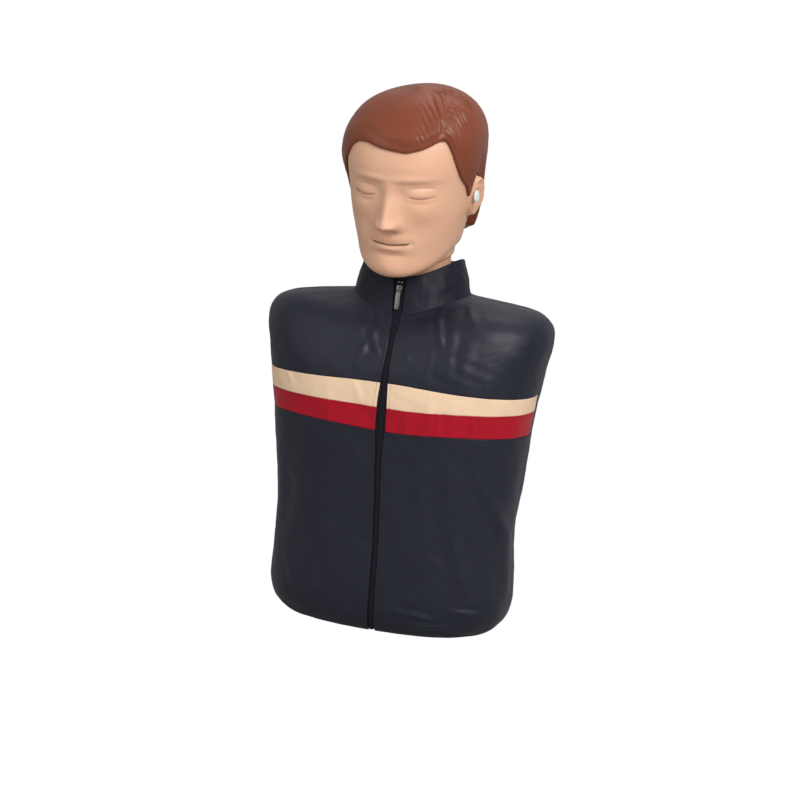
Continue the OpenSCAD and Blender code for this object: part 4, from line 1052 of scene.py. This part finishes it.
    def stitches(self) -> None:
        """Top stitching along the zip and the stripes, a capsule for each stitch.

        A stitch is a superellipse ring carried along its own length, thin at both ends,
        half sunk in the cloth.
        """
        pace, long, thick = 3.1, 2.1, 0.42
        lift = self.sizes.jacket_ease + self.sizes.cloth
        points, faces, base = [], [], 0
        s = np.linspace(-1, 1, 5)
        ring = round_outline(1, 1, 2, 5)
        size = thick * np.sqrt(np.maximum(0.06, 1 - s**2))
        for a, v in self.stitch_rows():
            line = self.surface(a, v, np.full_like(a, lift))
            out = self.outward(a, v)
            run = np.linalg.norm(np.diff(line, axis=0, prepend=line[:1]), axis=1).cumsum()
            pick = np.searchsorted(run, np.arange(1.5, run[-1] - 1.5, pace))
            way = unit(np.gradient(line, axis=0))[pick]
            side = unit(np.cross(way, out[pick]))
            offset = (s * long / 2)[None, :, None, None] * way[:, None, None]
            body = size[None, :, None, None] * (
                ring[None, None, :, 0, None] * side[:, None, None]
                + ring[None, None, :, 1, None] * out[pick][:, None, None])
            block = line[pick][:, None, None] + offset + body
            one = np.array(quads(5, 5, ring=True))
            shifts = base + np.arange(len(pick)) * 25
            faces += (one[None] + shifts[:, None, None]).reshape(-1, 4).tolist()
            faces += (np.arange(5)[::-1][None] + shifts[:, None]).tolist()
            faces += (np.arange(20, 25)[None] + shifts[:, None]).tolist()
            points.append(block.reshape(-1, 3))
            base += 25 * len(pick)
        made = Mesh(np.concatenate(points), faces).build("top_stitching", weld=False)
        settle(made, STITCH, "torso", ())

    def build(self) -> None:
        """Makes the whole jacket with its zip."""
        self.build_cloth()
        self.tape_piece(1, "zip_tape_right")
        self.tape_piece(-1, "zip_tape_left")
        self.teeth_piece(1, "zip_teeth_right")
        self.teeth_piece(-1, "zip_teeth_left")
        self.stitches()


# Zip hardware


class ZipHardware:
    """The slider, its bail and pull, and the two top stops, on the collar's front."""

    SLIDER_DOWN = 10.0
    PULL_L = 27.0
    PULL_W = 6.0

    def __init__(self, sizes: TorsoSizes) -> None:
        """Works out the frame of the zip: +Z up the zip and -Y outwards."""
        top_z = sizes.neck_seam_z - sizes.neck_dip + sizes.collar_front_h
        self.origin = np.array([0, -(sizes.neck_seam_front - 8), top_z])
        slope = math.degrees(math.atan(8 / sizes.collar_front_h))
        self.lean = turn("x", -slope)
        self.top = Jacket.TAPE_IN + Jacket.TAPE_T + Jacket.TOOTH_T
        self.bail_y = -self.top - 3.2

    def place(self, p: Array, down: float) -> Array:
        """Puts points of the zip's frame, down below its top, into the shared frame."""
        return self.origin + (p + np.array([0, 0, -down])) @ self.lean.T

    def plate(self, outline: Array, y0: float, y1: float, soft: float) -> tuple[Array, list[list[int]]]:
        """A flat plate of an outline in x and z, from y0 to y1, with softened edges.

        Its rings shrink by a quarter circle of the given radius towards both faces.
        """
        middle = outline.mean(0)
        reach = np.linalg.norm(outline - middle, axis=1, keepdims=True)
        way = (outline - middle) / reach
        turns = np.linspace(0, math.pi / 2, 4)
        shrink = np.concatenate([soft * (1 - np.sin(turns)), soft * (1 - np.sin(turns[::-1]))])
        depth = np.concatenate([y1 - soft * (1 - np.cos(turns)), y0 + soft * (1 - np.cos(turns[::-1]))])
        rings = []
        for k, y in zip(shrink, depth):
            ring = outline - way * k
            rings.append(np.column_stack([ring[:, 0], np.full(len(outline), y), ring[:, 1]]))
        n = len(outline)
        faces = quads(len(rings), n, ring=True, flip=True)
        faces += [list(range(n)), list(range((len(rings) - 1) * n, len(rings) * n))[::-1]]
        return np.concatenate(rings), faces

    def join(self, parts: list[tuple[Array, list[list[int]]]], name: str, down: float) -> bpy.types.Object:
        """One mesh of several closed parts, placed in the shared frame."""
        points, faces, base = [], [], 0
        for p, f in parts:
            points.append(p)
            faces += [[k + base for k in face] for face in f]
            base += len(p)
        made = Mesh(self.place(np.concatenate(points), down), faces).build(name, weld=False)
        shape = bmesh.new()
        shape.from_mesh(made.data)
        bmesh.ops.recalc_face_normals(shape, faces=shape.faces)
        shape.to_mesh(made.data)
        shape.free()
        made.data.shade_smooth()
        made.data.set_sharp_from_angle(angle=math.radians(50))
        return made

    def slider(self) -> None:
        """The slider: two shield-shaped plates, the wedge between them and the bail."""
        outline = round_outline(7.2, 9.3, 2.8, 40)
        outline[:, 0] *= 1 + 0.09 * outline[:, 1] / 4.6
        front = self.plate(outline, -self.top - 1.5, -self.top - 0.3, 0.45)
        back = self.plate(outline, 0.2 - Jacket.TAPE_IN, 1.2 - Jacket.TAPE_IN, 0.4)
        web = self.plate(round_outline(0.6, 9, 4, 16), -self.top - 0.6, 0.1, 0.1)
        arc = np.linspace(-math.pi / 2, math.pi / 2, 14)
        path = np.column_stack([np.zeros(14), -self.top - 1.2 - 3.0 * np.cos(arc) ** 0.8,
                                -1.0 + 2.0 * np.sin(arc)])
        bail = sweep(path, round_outline(2.2, 0.95, 2.6, 12), np.array([1.0, 0, 0]))
        made = self.join([front, back, web, bail], "zip_slider_body", self.SLIDER_DOWN)
        settle(made, NICKEL, "slider", ("zip_slider",))

    def pull(self) -> None:
        """The pull: a link through the bail and a tab with a raised rim."""
        y = self.bail_y
        t = np.linspace(0, math.tau, 28, endpoint=False)
        link_path = np.column_stack([
            1.75 * np.cos(t), np.full(28, y), -3.1 + 2.35 * np.sign(np.sin(t)) * np.abs(np.sin(t)) ** 0.8])
        link = sweep(link_path, round_outline(0.95, 0.95, 2, 8), np.array([0.0, 1, 0]), loop=True)
        tab_l = self.PULL_L - 4.6
        outline = round_outline(self.PULL_W, tab_l, 7, 48) + np.array([0, -0.4 - 4.4 - tab_l / 2])
        tab = self.plate(outline, y - 0.5, y + 0.5, 0.25)
        rim_path = np.column_stack([(round_outline(self.PULL_W - 1.1, tab_l - 1.1, 7, 48)
                                     + np.array([0, -0.4 - 4.4 - tab_l / 2]))[:, 0], np.full(48, y - 0.42),
                                    (round_outline(self.PULL_W - 1.1, tab_l - 1.1, 7, 48)
                                     + np.array([0, -0.4 - 4.4 - tab_l / 2]))[:, 1]])
        rim = sweep(rim_path, round_outline(0.7, 0.5, 2, 8), np.array([0.0, 1, 0]), loop=True)
        made = self.join([link, tab, rim], "zip_pull_tab", self.SLIDER_DOWN)
        settle(made, NICKEL, "pull", ("zip_pull",))

    def stops(self) -> None:
        """The two top stops: folded metal clips on the ends of the rows."""
        clips = []
        on_tape = -Jacket.TAPE_IN - Jacket.TAPE_T
        for side in (-1, 1):
            outline = round_outline(2.3, 2.5, 5, 20) + np.array([2.2 * side, 0])
            clips.append(self.plate(outline, on_tape - 2, on_tape + 0.05, 0.5))
        made = self.join(clips, "zip_stop_clips", 2.2)
        settle(made, NICKEL, "torso", ("zip_stops",))

    def build(self) -> None:
        """Makes the zip's metal parts."""
        self.slider()
        self.pull()
        self.stops()


# Head


@dataclass(frozen=True)
class HeadSizes:
    """Driving sizes of the head, in millimetres, and its placing at rest."""

    hinge_y: float = 5
    hinge_z: float = 432
    neck_l: float = 55
    lean: float = 16
    turned: float = 4
    tip: float = 2.5
    skull_w: float = 79
    jaw_w: float = 63
    brow_front: float = 91
    chin_front: float = 87
    skull_back: float = 101
    crown_z: float = 202
    brow_z: float = 110
    face_wall: float = 3.4
    neck_r: float = 49
    nose_h: float = 25
    ear_h: float = 13
    hair_t: float = 8
    pivot_z: float = 82

    def rows(self) -> Array:
        """The head's sections, in its own frame."""
        n, j, c = self.neck_r, self.jaw_w, self.chin_front
        b, k, w, f = self.brow_z, self.skull_back, self.skull_w, self.brow_front
        t = self.crown_z
        return np.array([
            [2, -6, 3, n + 4.2, n + 4.2, n + 4.2, 2],
            [13, -6.5, 6, n + 6, c - 21, n + 8, 2],
            [18, -8.5, 8, j - 3, c - 8, n + 11, 2.05],
            [28, -1.5, 16, j, c, n + 17, 2.1],
            [42, 16.5, 30, j + 3, c, n + 25, 2.15],
            [56, 34, 46, j + 6, c + 1, k - 17, 2.2],
            [70, 56, 64, w - 6.5, c + 1, k - 9, 2.2],
            [b - 16, b - 16, b - 16, w - 3.5, f - 2, k - 2, 2.2],
            [b, b, b, w - 2, f, k, 2.2],
            [b + 24, b + 24, b + 24, w, f - 1, k, 2.2],
            [t - 42, t - 42, t - 42, w - 3, f - 12, k - 6, 2.2],
            [t - 20, t - 20, t - 20, w - 16, f - 33, k - 23, 2.1],
            [t - 6, t - 6, t - 6, w - 39, f - 57, k - 51, 2],
            [t, t, t, 6, 5, 8, 2],
        ])


HAIRLINE = np.array([
    [-180, 2.4], [-150, 2.5], [-134, 3.3], [-121, 3.6], [-115, 5.4], [-108, 7.3], [-97, 8.0],
    [-89, 7.9], [-84, 6.9], [-80, 5.9], [-76, 6.0], [-70, 6.6], [-65, 7.3], [-59, 8.1], [-48, 8.9],
    [-40, 9.5], [-33, 9.8], [-22, 9.85], [-8, 9.7], [14, 9.58], [28, 9.75], [42, 10.05],
    [48.5, 10.05], [53, 9.4], [57, 8.8], [64, 8.15], [73, 7.45], [78.5, 6.85], [82, 6.5], [86, 7.0],
    [90, 7.9], [97, 8.0], [108, 7.3], [115, 5.4], [121, 3.6], [134, 3.3], [150, 2.5], [180, 2.4],
])


class Head:
    """The face skin, the moulded hair and the ear plugs."""

    V_CROWN = 13
    V_FACE_TOP = 10.4
    FACE_EDGE = 112.0
    PART = np.array([59.0, 81.0])
    PART_END = np.array([45.0, 8.0])
    FACE_SHIFT = 2.0
    FACE_LEVELS = np.array([[-20, -20], [7, 3], [36, 33.6], [63, 57], [100.5, 94.5],
                            [118, 111], [140, 132], [175, 175]])

    def __init__(self, sizes: HeadSizes) -> None:
        """Keeps the sizes and works out the head's frame."""
        self.sizes = sizes
        self.loft = Loft(sizes.rows(), self.V_CROWN)
        self.pivot = np.array([0, sizes.hinge_y, sizes.hinge_z])
        self.lean = turn("z", -sizes.turned) @ turn("x", sizes.lean)
        self.tip = turn("y", sizes.tip)

    def place(self, p: Array) -> Array:
        """Puts points of the head's frame into the shared frame."""
        return self.pivot + (p @ self.tip.T + np.array([0, 0, self.sizes.neck_l])) @ self.lean.T

    def bare(self, a: Array, v: Array, t: Array | float) -> Array:
        """The head without relief, moved outwards by t."""
        n = self.loft.normal(a, v, 0, self.V_CROWN)
        return self.loft.point(a, v) + np.asarray(t)[..., None] * n

    def level(self, z: Array) -> Array:
        """Height as the face's features count it: they sit a little higher on the form."""
        return np.interp(z, self.FACE_LEVELS[:, 0], self.FACE_LEVELS[:, 1])

    @staticmethod
    def eye_x(x: Array) -> Array:
        """Distance of the eye's middle from the face's middle, on the side of x."""
        return 34 + 3.5 * smooth(x, -6, 6)

    def features(self, x: Array, z: Array) -> Array:
        """Forward relief of the face in millimetres, a sum of soft bumps and grooves.

        The nose is a ridge that grows downwards, the lids are shallow domes with a fine
        groove below them, and the mouth is a narrow slit between two low rolls.
        """
        s = self.sizes
        side = np.abs(x)
        eye = self.eye_x(x)
        z = self.level(z)
        up = np.clip((z - 56) / 44, 0, 1)
        ridge = s.nose_h * (1 - up) ** 1.15 * smooth(z, 45, 58) * bell(side, 0, 12.5 - 3 * up)
        ridge += 2.5 * up * bell(side, 0, 8) * (1 - smooth(z, 96, 116))
        wings = 6.6 * bell(side, 11.5, 5.6) * bell(z, 57, 6.4) - 1.6 * bell(side, 18.5, 2.6) * bell(z, 59, 6)
        nostrils = -4.2 * bell(side, 6.5, 3.0) * bell(z, 49.5, 2.2)
        brow = 2.5 * bell(z, 111 + 0.5 * np.sin(side / 14), 4.2) * bell(side, 27, 25)
        sockets = -4.0 * bell(side, eye - 2, 17) * bell(z, 99, 10) - 1.6 * bell(side, 14, 7) * bell(z, 95, 9)
        lids = 4.6 * bell(side, eye, 13) * bell(z, 94.5, 6.2)
        lid_line = 88.6 + 0.011 * (side - eye) ** 2
        lid_groove = -1.8 * bell(z, lid_line, 1.15) * (1 - smooth(np.abs(side - eye), 11, 17))
        fold_end = 1 - smooth(np.abs(side - eye), 9, 16)
        lid_fold = -1.0 * bell(z, 101.5 - 0.006 * (side - eye) ** 2, 1.5) * fold_end
        under = -1.2 * bell(z, lid_line - 6.5, 3.6) * bell(side, eye - 1, 13)
        cheeks = 3.5 * bell(side, 47, 17) * bell(z, 72, 15) - 2 * bell(side, 30, 9) * bell(z, 50, 14)
        upper = 3.4 * bell(side, 0, 21) * bell(z, 40, 5.6) - 1.2 * bell(side, 0, 2.6) * bell(z, 44, 4.4)
        slit = -3.6 * bell(z, self.mouth_line(x), 0.85) * (1 - smooth(side, 20, 25))
        corners = -1.2 * bell(side, 25.5, 3.2) * bell(z, self.mouth_line(x), 3)
        lower = 3.9 * bell(side, 0, 17) * bell(z, 28.6, 4.2) - 2.8 * bell(side, 0, 17) * bell(z, 19, 4.0)
        chin = 4.6 * bell(side, 0, 17) * bell(z, 3, 11.5)
        return (ridge + wings + nostrils + brow + sockets + lids + lid_groove + lid_fold + under + cheeks
                + upper + slit + corners + lower + chin)

    @staticmethod
    def mouth_line(x: Array) -> Array:
        """Height of the closed lips' line at x, a shallow bow."""
        return 33.6 + 0.0022 * x * x - 0.35 * bell(x, 0, 5)

    def ear(self, a: Array, p: Array) -> Array:
        """Sideways relief of the ears: a dished oval with a rolled rim and a lobe."""
        s = self.sizes
        y, z = p[..., 1], p[..., 2]
        u = (y - 9 + 0.12 * (z - 80)) / 14
        w = (z - 79.5) / 28
        e = np.hypot(u, w)
        body = s.ear_h * (0.35 + 0.32 * (u + 1)) * (1 - smooth(e, 0.86, 1.04))
        dish = 1 - 0.5 * bell(np.hypot(u + 0.1, w + 0.05), 0, 0.5)
        rim = 1.5 * bell(e, 0.82, 0.09) * smooth(w, -0.75, -0.2)
        fold = -1.0 * bell(e, 0.62, 0.08) * smooth(w, -0.6, 0)
        inner = 1.2 * bell(e, 0.45, 0.08) * smooth(u, -0.4, 0.1)
        flap = 1.2 * bell(np.hypot(u + 0.72, w + 0.1), 0, 0.2)
        reach = smooth(np.abs(a), 70, 80) * (1 - smooth(np.abs(a), 106, 110))
        inside = 1 - smooth(e, 0.98, 1.08)
        return np.sign(np.sin(np.radians(a))) * reach * (body * dish + (rim + fold + inner + flap) * inside)

    def skin(self, a: Array, v: Array) -> Array:
        """The outer face of the skin at bearing a of section v."""
        p = self.loft.point(a, v)
        face = 1 - smooth(np.abs(a), 62, 80)
        p = p.copy()
        plain = p.copy()
        p[..., 1] -= face * self.features(plain[..., 0] - self.FACE_SHIFT, plain[..., 2])
        p[..., 0] += self.ear(a, plain)
        return p

    def face(self) -> None:
        """The face skin, with the ears, from the neck's root to under the hair."""
        t = np.linspace(-1, 1, 235)
        a = self.FACE_EDGE * (0.56 * t + 0.44 * np.abs(t) ** 2.2 * np.sign(t))
        rows = np.interp(np.linspace(0, 1, 205), [0, 0.12, 0.36, 0.5, 0.6, 0.8, 1],
                         [0, 2.9, 4.55, 5.6, 6.4, 8.2, self.V_FACE_TOP])
        a_grid, v_grid = np.meshgrid(a, rows)
        outer = self.skin(a_grid, v_grid)
        inner = self.bare(a_grid, v_grid, -self.sizes.face_wall + 0 * a_grid)
        points, faces = shell(outer, inner)
        plain = self.loft.point(a_grid, v_grid)
        x, z = plain[..., 0] - self.FACE_SHIFT, self.level(plain[..., 2])
        eye = self.eye_x(x)
        from_eye = np.abs(np.abs(x) - eye)
        front = 1 - smooth(np.abs(a_grid), 62, 80)
        # Painted shade: the dark mask below puts near-black into the mouth's slit, along the lids' slits
        # (most at one eye's outer corner) and into the nostrils, where shade falls.
        slit = bell(z, self.mouth_line(x), 0.75) * (1 - smooth(np.abs(x), 21, 25))
        lid_slit_shade = bell(z, 88.9 + 0.011 * from_eye**2, 0.9) * (
            bell(x, -46, 3.4) + 0.25 * (1 - smooth(from_eye, 9, 15)))
        nostril = bell(np.abs(x), 6.5, 2.0) * bell(z, 49.2, 1.5)
        dark = np.clip(front * (slit + 0.9 * lid_slit_shade + 0.7 * nostril), 0, 1)
        lips = bell(np.abs(x), 0, 17) * (bell(z, 38, 3) + bell(z, 28.6, 3.4)) * 0.25
        # Painted shade: lines darkens the lid's crease and a band under the brow; the lips and cheeks in the
        # same reddish mask are the vinyl's own tint.
        lines = 0.6 * bell(z, 88.6 + 0.011 * from_eye**2, 1.5) * (1 - smooth(from_eye, 11, 17))
        lines = lines + 0.2 * bell(z, 105.5, 2.6) * bell(np.abs(x), 28, 20)
        cheeks = (
            0.22 * bell(np.abs(x), 46, 15) * bell(z, 66, 16)
            + 0.25 * bell(np.abs(x), 0, 9) * bell(z, 54, 8))
        blush_and_painted_shade = np.clip(front * (lips + lines + cheeks), 0, 1)
        pad = np.zeros(outer.shape[0] * outer.shape[1])
        masks = {"dark": np.concatenate([dark.ravel(), pad]), "blush_and_painted_shade": np.concatenate([blush_and_painted_shade.ravel(), pad])}
        made = Mesh(self.place(points), faces, masks=masks).build("face_mask")
        settle(made, VINYL, "head", ("face_skin",))

    def hairline(self, a: Array) -> Array:
        """Section number of the hair's lower edge at bearing a, with softened corners."""
        shares = ((-2.0, 0.1), (-1.0, 0.2), (0, 0.4), (1.0, 0.2), (2.0, 0.1))
        return sum(
            np.interp((a + shift + 180) % 360 - 180, HAIRLINE[:, 0], HAIRLINE[:, 1]) * share
            for shift, share in shares)

    def strands(self, a: Array, v: Array, reach: Array) -> tuple[Array, Array, Array]:
        """Relief of the combed hair, and the coordinates that follow its strands.

        The head's top is laid flat round the crown. The strands leave the parting, a line
        on that plan: steeply backwards on its left, slightly forwards on its right, and
        as rays behind its inner end.

        Args:
            a: Bearings.
            v: Sections.
            reach: Length along the surface from the crown to each point.

        Returns:
            The height in millimetres, the coordinate across the strands, and that along.
        """
        flat = np.stack([reach * np.sin(np.radians(a)), reach * np.cos(np.radians(a))], -1)
        peak = self.PART
        way = unit(self.PART_END - peak)
        long = np.linalg.norm(self.PART_END - peak)
        along = (flat - peak) @ way
        across = (flat - peak) @ np.array([way[1], -way[0]])
        held = np.clip(along, 0, long)
        off = np.hypot(along - held, across)
        angle = np.arctan2(along - held, np.abs(across))
        slope = np.where(across < 0, 0.5, -1.5) * (1 - smooth(np.abs(angle), 0, 1.4))
        line = (held + slope * off) / np.sqrt(1 + slope**2) + 0.0016 * off**2 + 28 * angle
        sway = 1.6 * np.sin(off / 13 + 0.11 * line) + 0.7 * np.sin(off / 5.5 + 0.3 * line)
        q = line + sway
        near = bell(off, 11, 12) + 0.03 + 0.09 * smooth(along - long, 10, 60)
        locks = np.sin(q * math.tau / 6.6 + 1.2 * np.sin(q / 13))
        wisps = np.sin(q * math.tau / 4.1 + 1.1 * np.sin(q / 7)) * (0.6 + 0.4 * np.sin(off / 9 + q / 5))
        threads = np.sin(q * math.tau / 2.0 + 1.7 * np.sin(q / 3.1))
        broken = 0.75 + 0.25 * np.sin(off / 9 + 1.9 * np.sin(q / 6.3))
        on_top = smooth(along, -6, 10)
        height = near * (1.25 * locks + 0.25 * wisps) * broken * (0.35 + 0.65 * on_top) + 0.03 * threads
        groove = -1.4 * bell(off, 0, 2.5) * smooth(along, -4, 6) * (1 - smooth(along, long - 14, long + 4))
        shoulder = 0.6 * bell(off, 11, 7) * smooth(along, 0, 16) * (1 - smooth(along, long - 10, long + 8))
        return height + groove + shoulder, q, off

    def hair(self) -> None:
        """The moulded hair: a cap with a parting, a swept fringe and a rounded edge."""
        s = self.sizes
        cols, rows = 336, 138
        a = np.linspace(-180, 180, cols, endpoint=False)
        j = np.concatenate([[0, 0.002, 0.005, 0.010, 0.017, 0.026], np.linspace(0.037, 1, rows)])
        low = self.hairline(a)
        share, a_grid = np.meshgrid(j, a, indexing="ij")
        v_grid = mix(low[None], self.V_CROWN - 0.02, share**1.05)
        core = self.bare(a_grid, v_grid, np.zeros_like(a_grid))
        step = np.linalg.norm(np.diff(core[::-1], axis=0, prepend=core[-1:]), axis=-1).cumsum(0)[::-1]
        height, q, off = self.strands(a_grid, v_grid, step)
        from_edge = step[0][None] - step
        edge = smooth(share, 0, 0.3)
        fringe_zone = bell(a_grid, 4, 46) * (1 - smooth(np.abs(a_grid - 2), 36, 60))
        fringe = 2.2 * fringe_zone * bell(from_edge, 11, 9)
        wave = 0.9 * fringe_zone * np.sin((from_edge + 0.22 * (a_grid + 30)) / 3.1) * bell(from_edge, 13, 11)
        bulk = s.hair_t * (0.5 + 0.5 * edge) + 8 * bell(v_grid, 3.8, 2) * smooth(np.abs(a_grid), 106, 116)
        bulk = bulk + 4 * np.sin(np.radians(a_grid)) * smooth(v_grid, 8.5, 11)
        rolled = np.sqrt(np.maximum(0, 1 - (1 - np.clip(from_edge / 3.0, 0, 1)) ** 2))
        lifted = bulk + smooth(from_edge, 0.5, 9) * height + fringe + wave
        outer = self.bare(a_grid, v_grid, 1.0 + (lifted - 1.0) * rolled)
        inner = self.bare(a_grid, v_grid, 0.9 + 0 * a_grid)
        ears = self.ear(a_grid, core)
        inner[..., 0] += ears
        n_rows = len(j)
        count = n_rows * cols
        outer_top = outer[-1].mean(0)
        inner_top = inner[-1].mean(0)
        points = np.concatenate([outer.reshape(-1, 3), inner.reshape(-1, 3), [outer_top, inner_top]])
        faces = quads(n_rows, cols, ring=True) + quads(n_rows, cols, count, ring=True, flip=True)
        ring = np.arange(cols)
        nxt = (ring + 1) % cols
        end = (n_rows - 1) * cols
        faces += np.stack([end + ring, end + nxt, np.full(cols, 2 * count)], -1).tolist()
        faces += np.stack([count + end + nxt, count + end + ring, np.full(cols, 2 * count + 1)], -1).tolist()
        faces += np.stack([ring, count + ring, count + nxt, nxt], -1).tolist()
        flow = np.stack([q, off], -1).reshape(-1, 2)
        uv = np.concatenate([flow, flow, [[0, 0], [0, 0]]])
        made = Mesh(self.place(points), faces, uv).build("hair_moulding")
        settle(made, HAIR, "head", ("hair_cap",))

    def plugs(self) -> None:
        """The white ear plugs: a domed button on its shank, one for each ear."""
        s = self.sizes
        ear_bar = 41.3
        inner_x = ear_bar - 4.8
        face_x = s.skull_w + 2.8
        profile = np.array([[inner_x, 0.01], [inner_x, 2.6], [inner_x + 0.4, 3], [face_x, 3], [face_x, 7.1],
                            [face_x + 0.4, 7.6], [face_x + 1.8, 7.6], [face_x + 2.7, 6.9],
                            [face_x + 3.3, 5.6], [face_x + 3.4, 4.2], [face_x + 2.9, 3.5],
                            [face_x + 2.8, 0.01]])
        t = np.linspace(0, math.tau, 48, endpoint=False)
        for side, name in ((1, "right"), (-1, "left")):
            x = side * profile[:, 0][:, None] + 0 * t
            y = profile[:, 1][:, None] * np.cos(t)
            z = profile[:, 1][:, None] * np.sin(t) + s.pivot_z
            faces = quads(len(profile), 48, ring=True, flip=side > 0)
            points = self.place(np.stack([x, y, z], -1).reshape(-1, 3))
            made = Mesh(points, faces).build(f"ear_button_{name}", weld=False)
            shape = bmesh.new()
            shape.from_mesh(made.data)
            bmesh.ops.holes_fill(shape, edges=shape.edges, sides=0)
            bmesh.ops.recalc_face_normals(shape, faces=shape.faces)
            shape.to_mesh(made.data)
            shape.free()
            made.data.set_sharp_from_angle(angle=math.radians(40))
            settle(made, PLUG, "head", (f"ear_plug_{name}",))

    def build(self) -> None:
        """Makes the head's visible pieces."""
        self.face()
        self.hair()
        self.plugs()


# Studio


@dataclass(frozen=True)
class Studio:
    """The floor, the lights and the camera of the photograph."""

    azimuth: float = 16.0
    distance: float = 1.85
    height: float = 0.59
    look_z: float = 0.295
    roll: float = 4.2
    focal_px: float = 1435.0
    centre_px: tuple[float, float] = (405.0, 396.0)
    frame_px: float = 800.0
    sensor: float = 36.0

    def camera(self) -> None:
        """A camera at the photograph's place, rolled as the object leans in it."""
        a = math.radians(self.azimuth)
        place = Vector((self.distance * math.sin(a), -self.distance * math.cos(a), self.height))
        aim = Vector((0, 0, self.look_z)) - place
        data = bpy.data.cameras.new("studio_camera")
        data.sensor_width = self.sensor
        data.lens = self.focal_px / self.frame_px * self.sensor
        data.shift_x = (self.frame_px / 2 - self.centre_px[0]) / self.frame_px
        data.shift_y = (self.centre_px[1] - self.frame_px / 2) / self.frame_px
        data.clip_end = 50
        made = bpy.data.objects.new("studio_camera", data)
        turned = aim.to_track_quat("-Z", "Y").to_matrix() @ Matrix.Rotation(math.radians(self.roll), 3, "Z")
        made.matrix_world = Matrix.Translation(place) @ turned.to_4x4()
        bpy.context.scene.collection.objects.link(made)
        bpy.context.scene.camera = made

    def lamp(self, name: str, place: tuple[float, float, float], size: float, power: float) -> None:
        """A square soft lamp that looks at the object's middle."""
        data = bpy.data.lights.new(name, "AREA")
        data.size = size
        data.energy = power
        made = bpy.data.objects.new(name, data)
        made.location = place
        made.rotation_euler = (Vector((0, 0, 0.36)) - Vector(place)).to_track_quat("-Z", "Y").to_euler()
        bpy.context.scene.collection.objects.link(made)

    def white_background(self, tree: Tree, out: bpy.types.NodeSocket, plain: bpy.types.NodeSocket) -> None:
        """Shows white to camera and see-through rays, and the plain shader to the rest."""
        rays = tree.add("ShaderNodeLightPath")
        first = tree.math("MAXIMUM", rays.outputs["Is Camera Ray"], rays.outputs["Is Transmission Ray"])
        on_material = out.node.bl_idname == "ShaderNodeOutputMaterial"
        kind = "ShaderNodeEmission" if on_material else "ShaderNodeBackground"
        white = tree.add(kind)
        white.inputs["Color"].default_value = (1, 1, 1, 1)
        choose = tree.add("ShaderNodeMixShader")
        tree.join(first, choose.inputs[0])
        tree.join(plain, choose.inputs[1])
        tree.join(white.outputs[0], choose.inputs[2])
        tree.join(choose.outputs[0], out)

    def world(self) -> None:
        """A soft even light from all round, white where the camera sees it."""
        made = bpy.data.worlds.new("studio_world")
        made.use_nodes = True
        made.node_tree.nodes.clear()
        tree = Tree(made.node_tree)
        soft = tree.add("ShaderNodeBackground")
        soft.inputs["Color"].default_value = (1, 1, 1, 1)
        soft.inputs["Strength"].default_value = 0.41
        end = tree.add("ShaderNodeOutputWorld")
        self.white_background(tree, end.inputs["Surface"], soft.outputs[0])
        bpy.context.scene.world = made

    def floor(self) -> None:
        """A wide floor, white to camera and see-through rays and grey to the rest."""
        data = bpy.data.meshes.new("studio_floor")
        half = 6.0
        corners = [(-half, -half, 0), (half, -half, 0), (half, half, 0), (-half, half, 0)]
        data.from_pydata(corners, [], [(0, 1, 2, 3)])
        made = bpy.data.objects.new("studio_floor", data)
        finish = bpy.data.materials.new("studio_floor")
        finish.use_nodes = True
        shader = finish.node_tree.nodes["Principled BSDF"]
        shader.inputs["Base Color"].default_value = (0.45, 0.45, 0.45, 1)
        shader.inputs["Roughness"].default_value = 0.9
        end = finish.node_tree.nodes["Material Output"]
        self.white_background(Tree(finish.node_tree), end.inputs["Surface"], shader.outputs[0])
        data.materials.append(finish)
        bpy.context.scene.collection.objects.link(made)

    def build(self) -> None:
        """Sets the stage."""
        self.camera()
        self.world()
        self.floor()
        self.lamp("key_lamp", (1.35, -1.45, 1.6), 1.2, 38)
        self.lamp("fill_lamp", (-1.2, -1.7, 1.3), 1.4, 7)
        self.lamp("top_lamp", (0.2, 0.5, 2.2), 1.4, 9)
        bpy.context.scene.view_settings.view_transform = "Standard"


def dress_nodes(frame: dict) -> None:
    """Gives every CAD node that stays its own finish."""
    for finish, names in NODE_FINISH.items():
        for name in names:
            node = frame["nodes"][name]
            material = finish.build()
            if node.material_slots:
                for place in node.material_slots:
                    place.material = material
            else:
                node.data.materials.append(material)


def main() -> None:
    """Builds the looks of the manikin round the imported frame."""
    logging.basicConfig(level=logging.INFO, format="%(name)s: %(message)s")
    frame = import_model()
    Studio().build()
    dress_nodes(frame)
    sizes = TorsoSizes()
    Jacket(sizes).build()
    ZipHardware(sizes).build()
    Head(HeadSizes()).build()


if __name__ == "__main__":
    main()
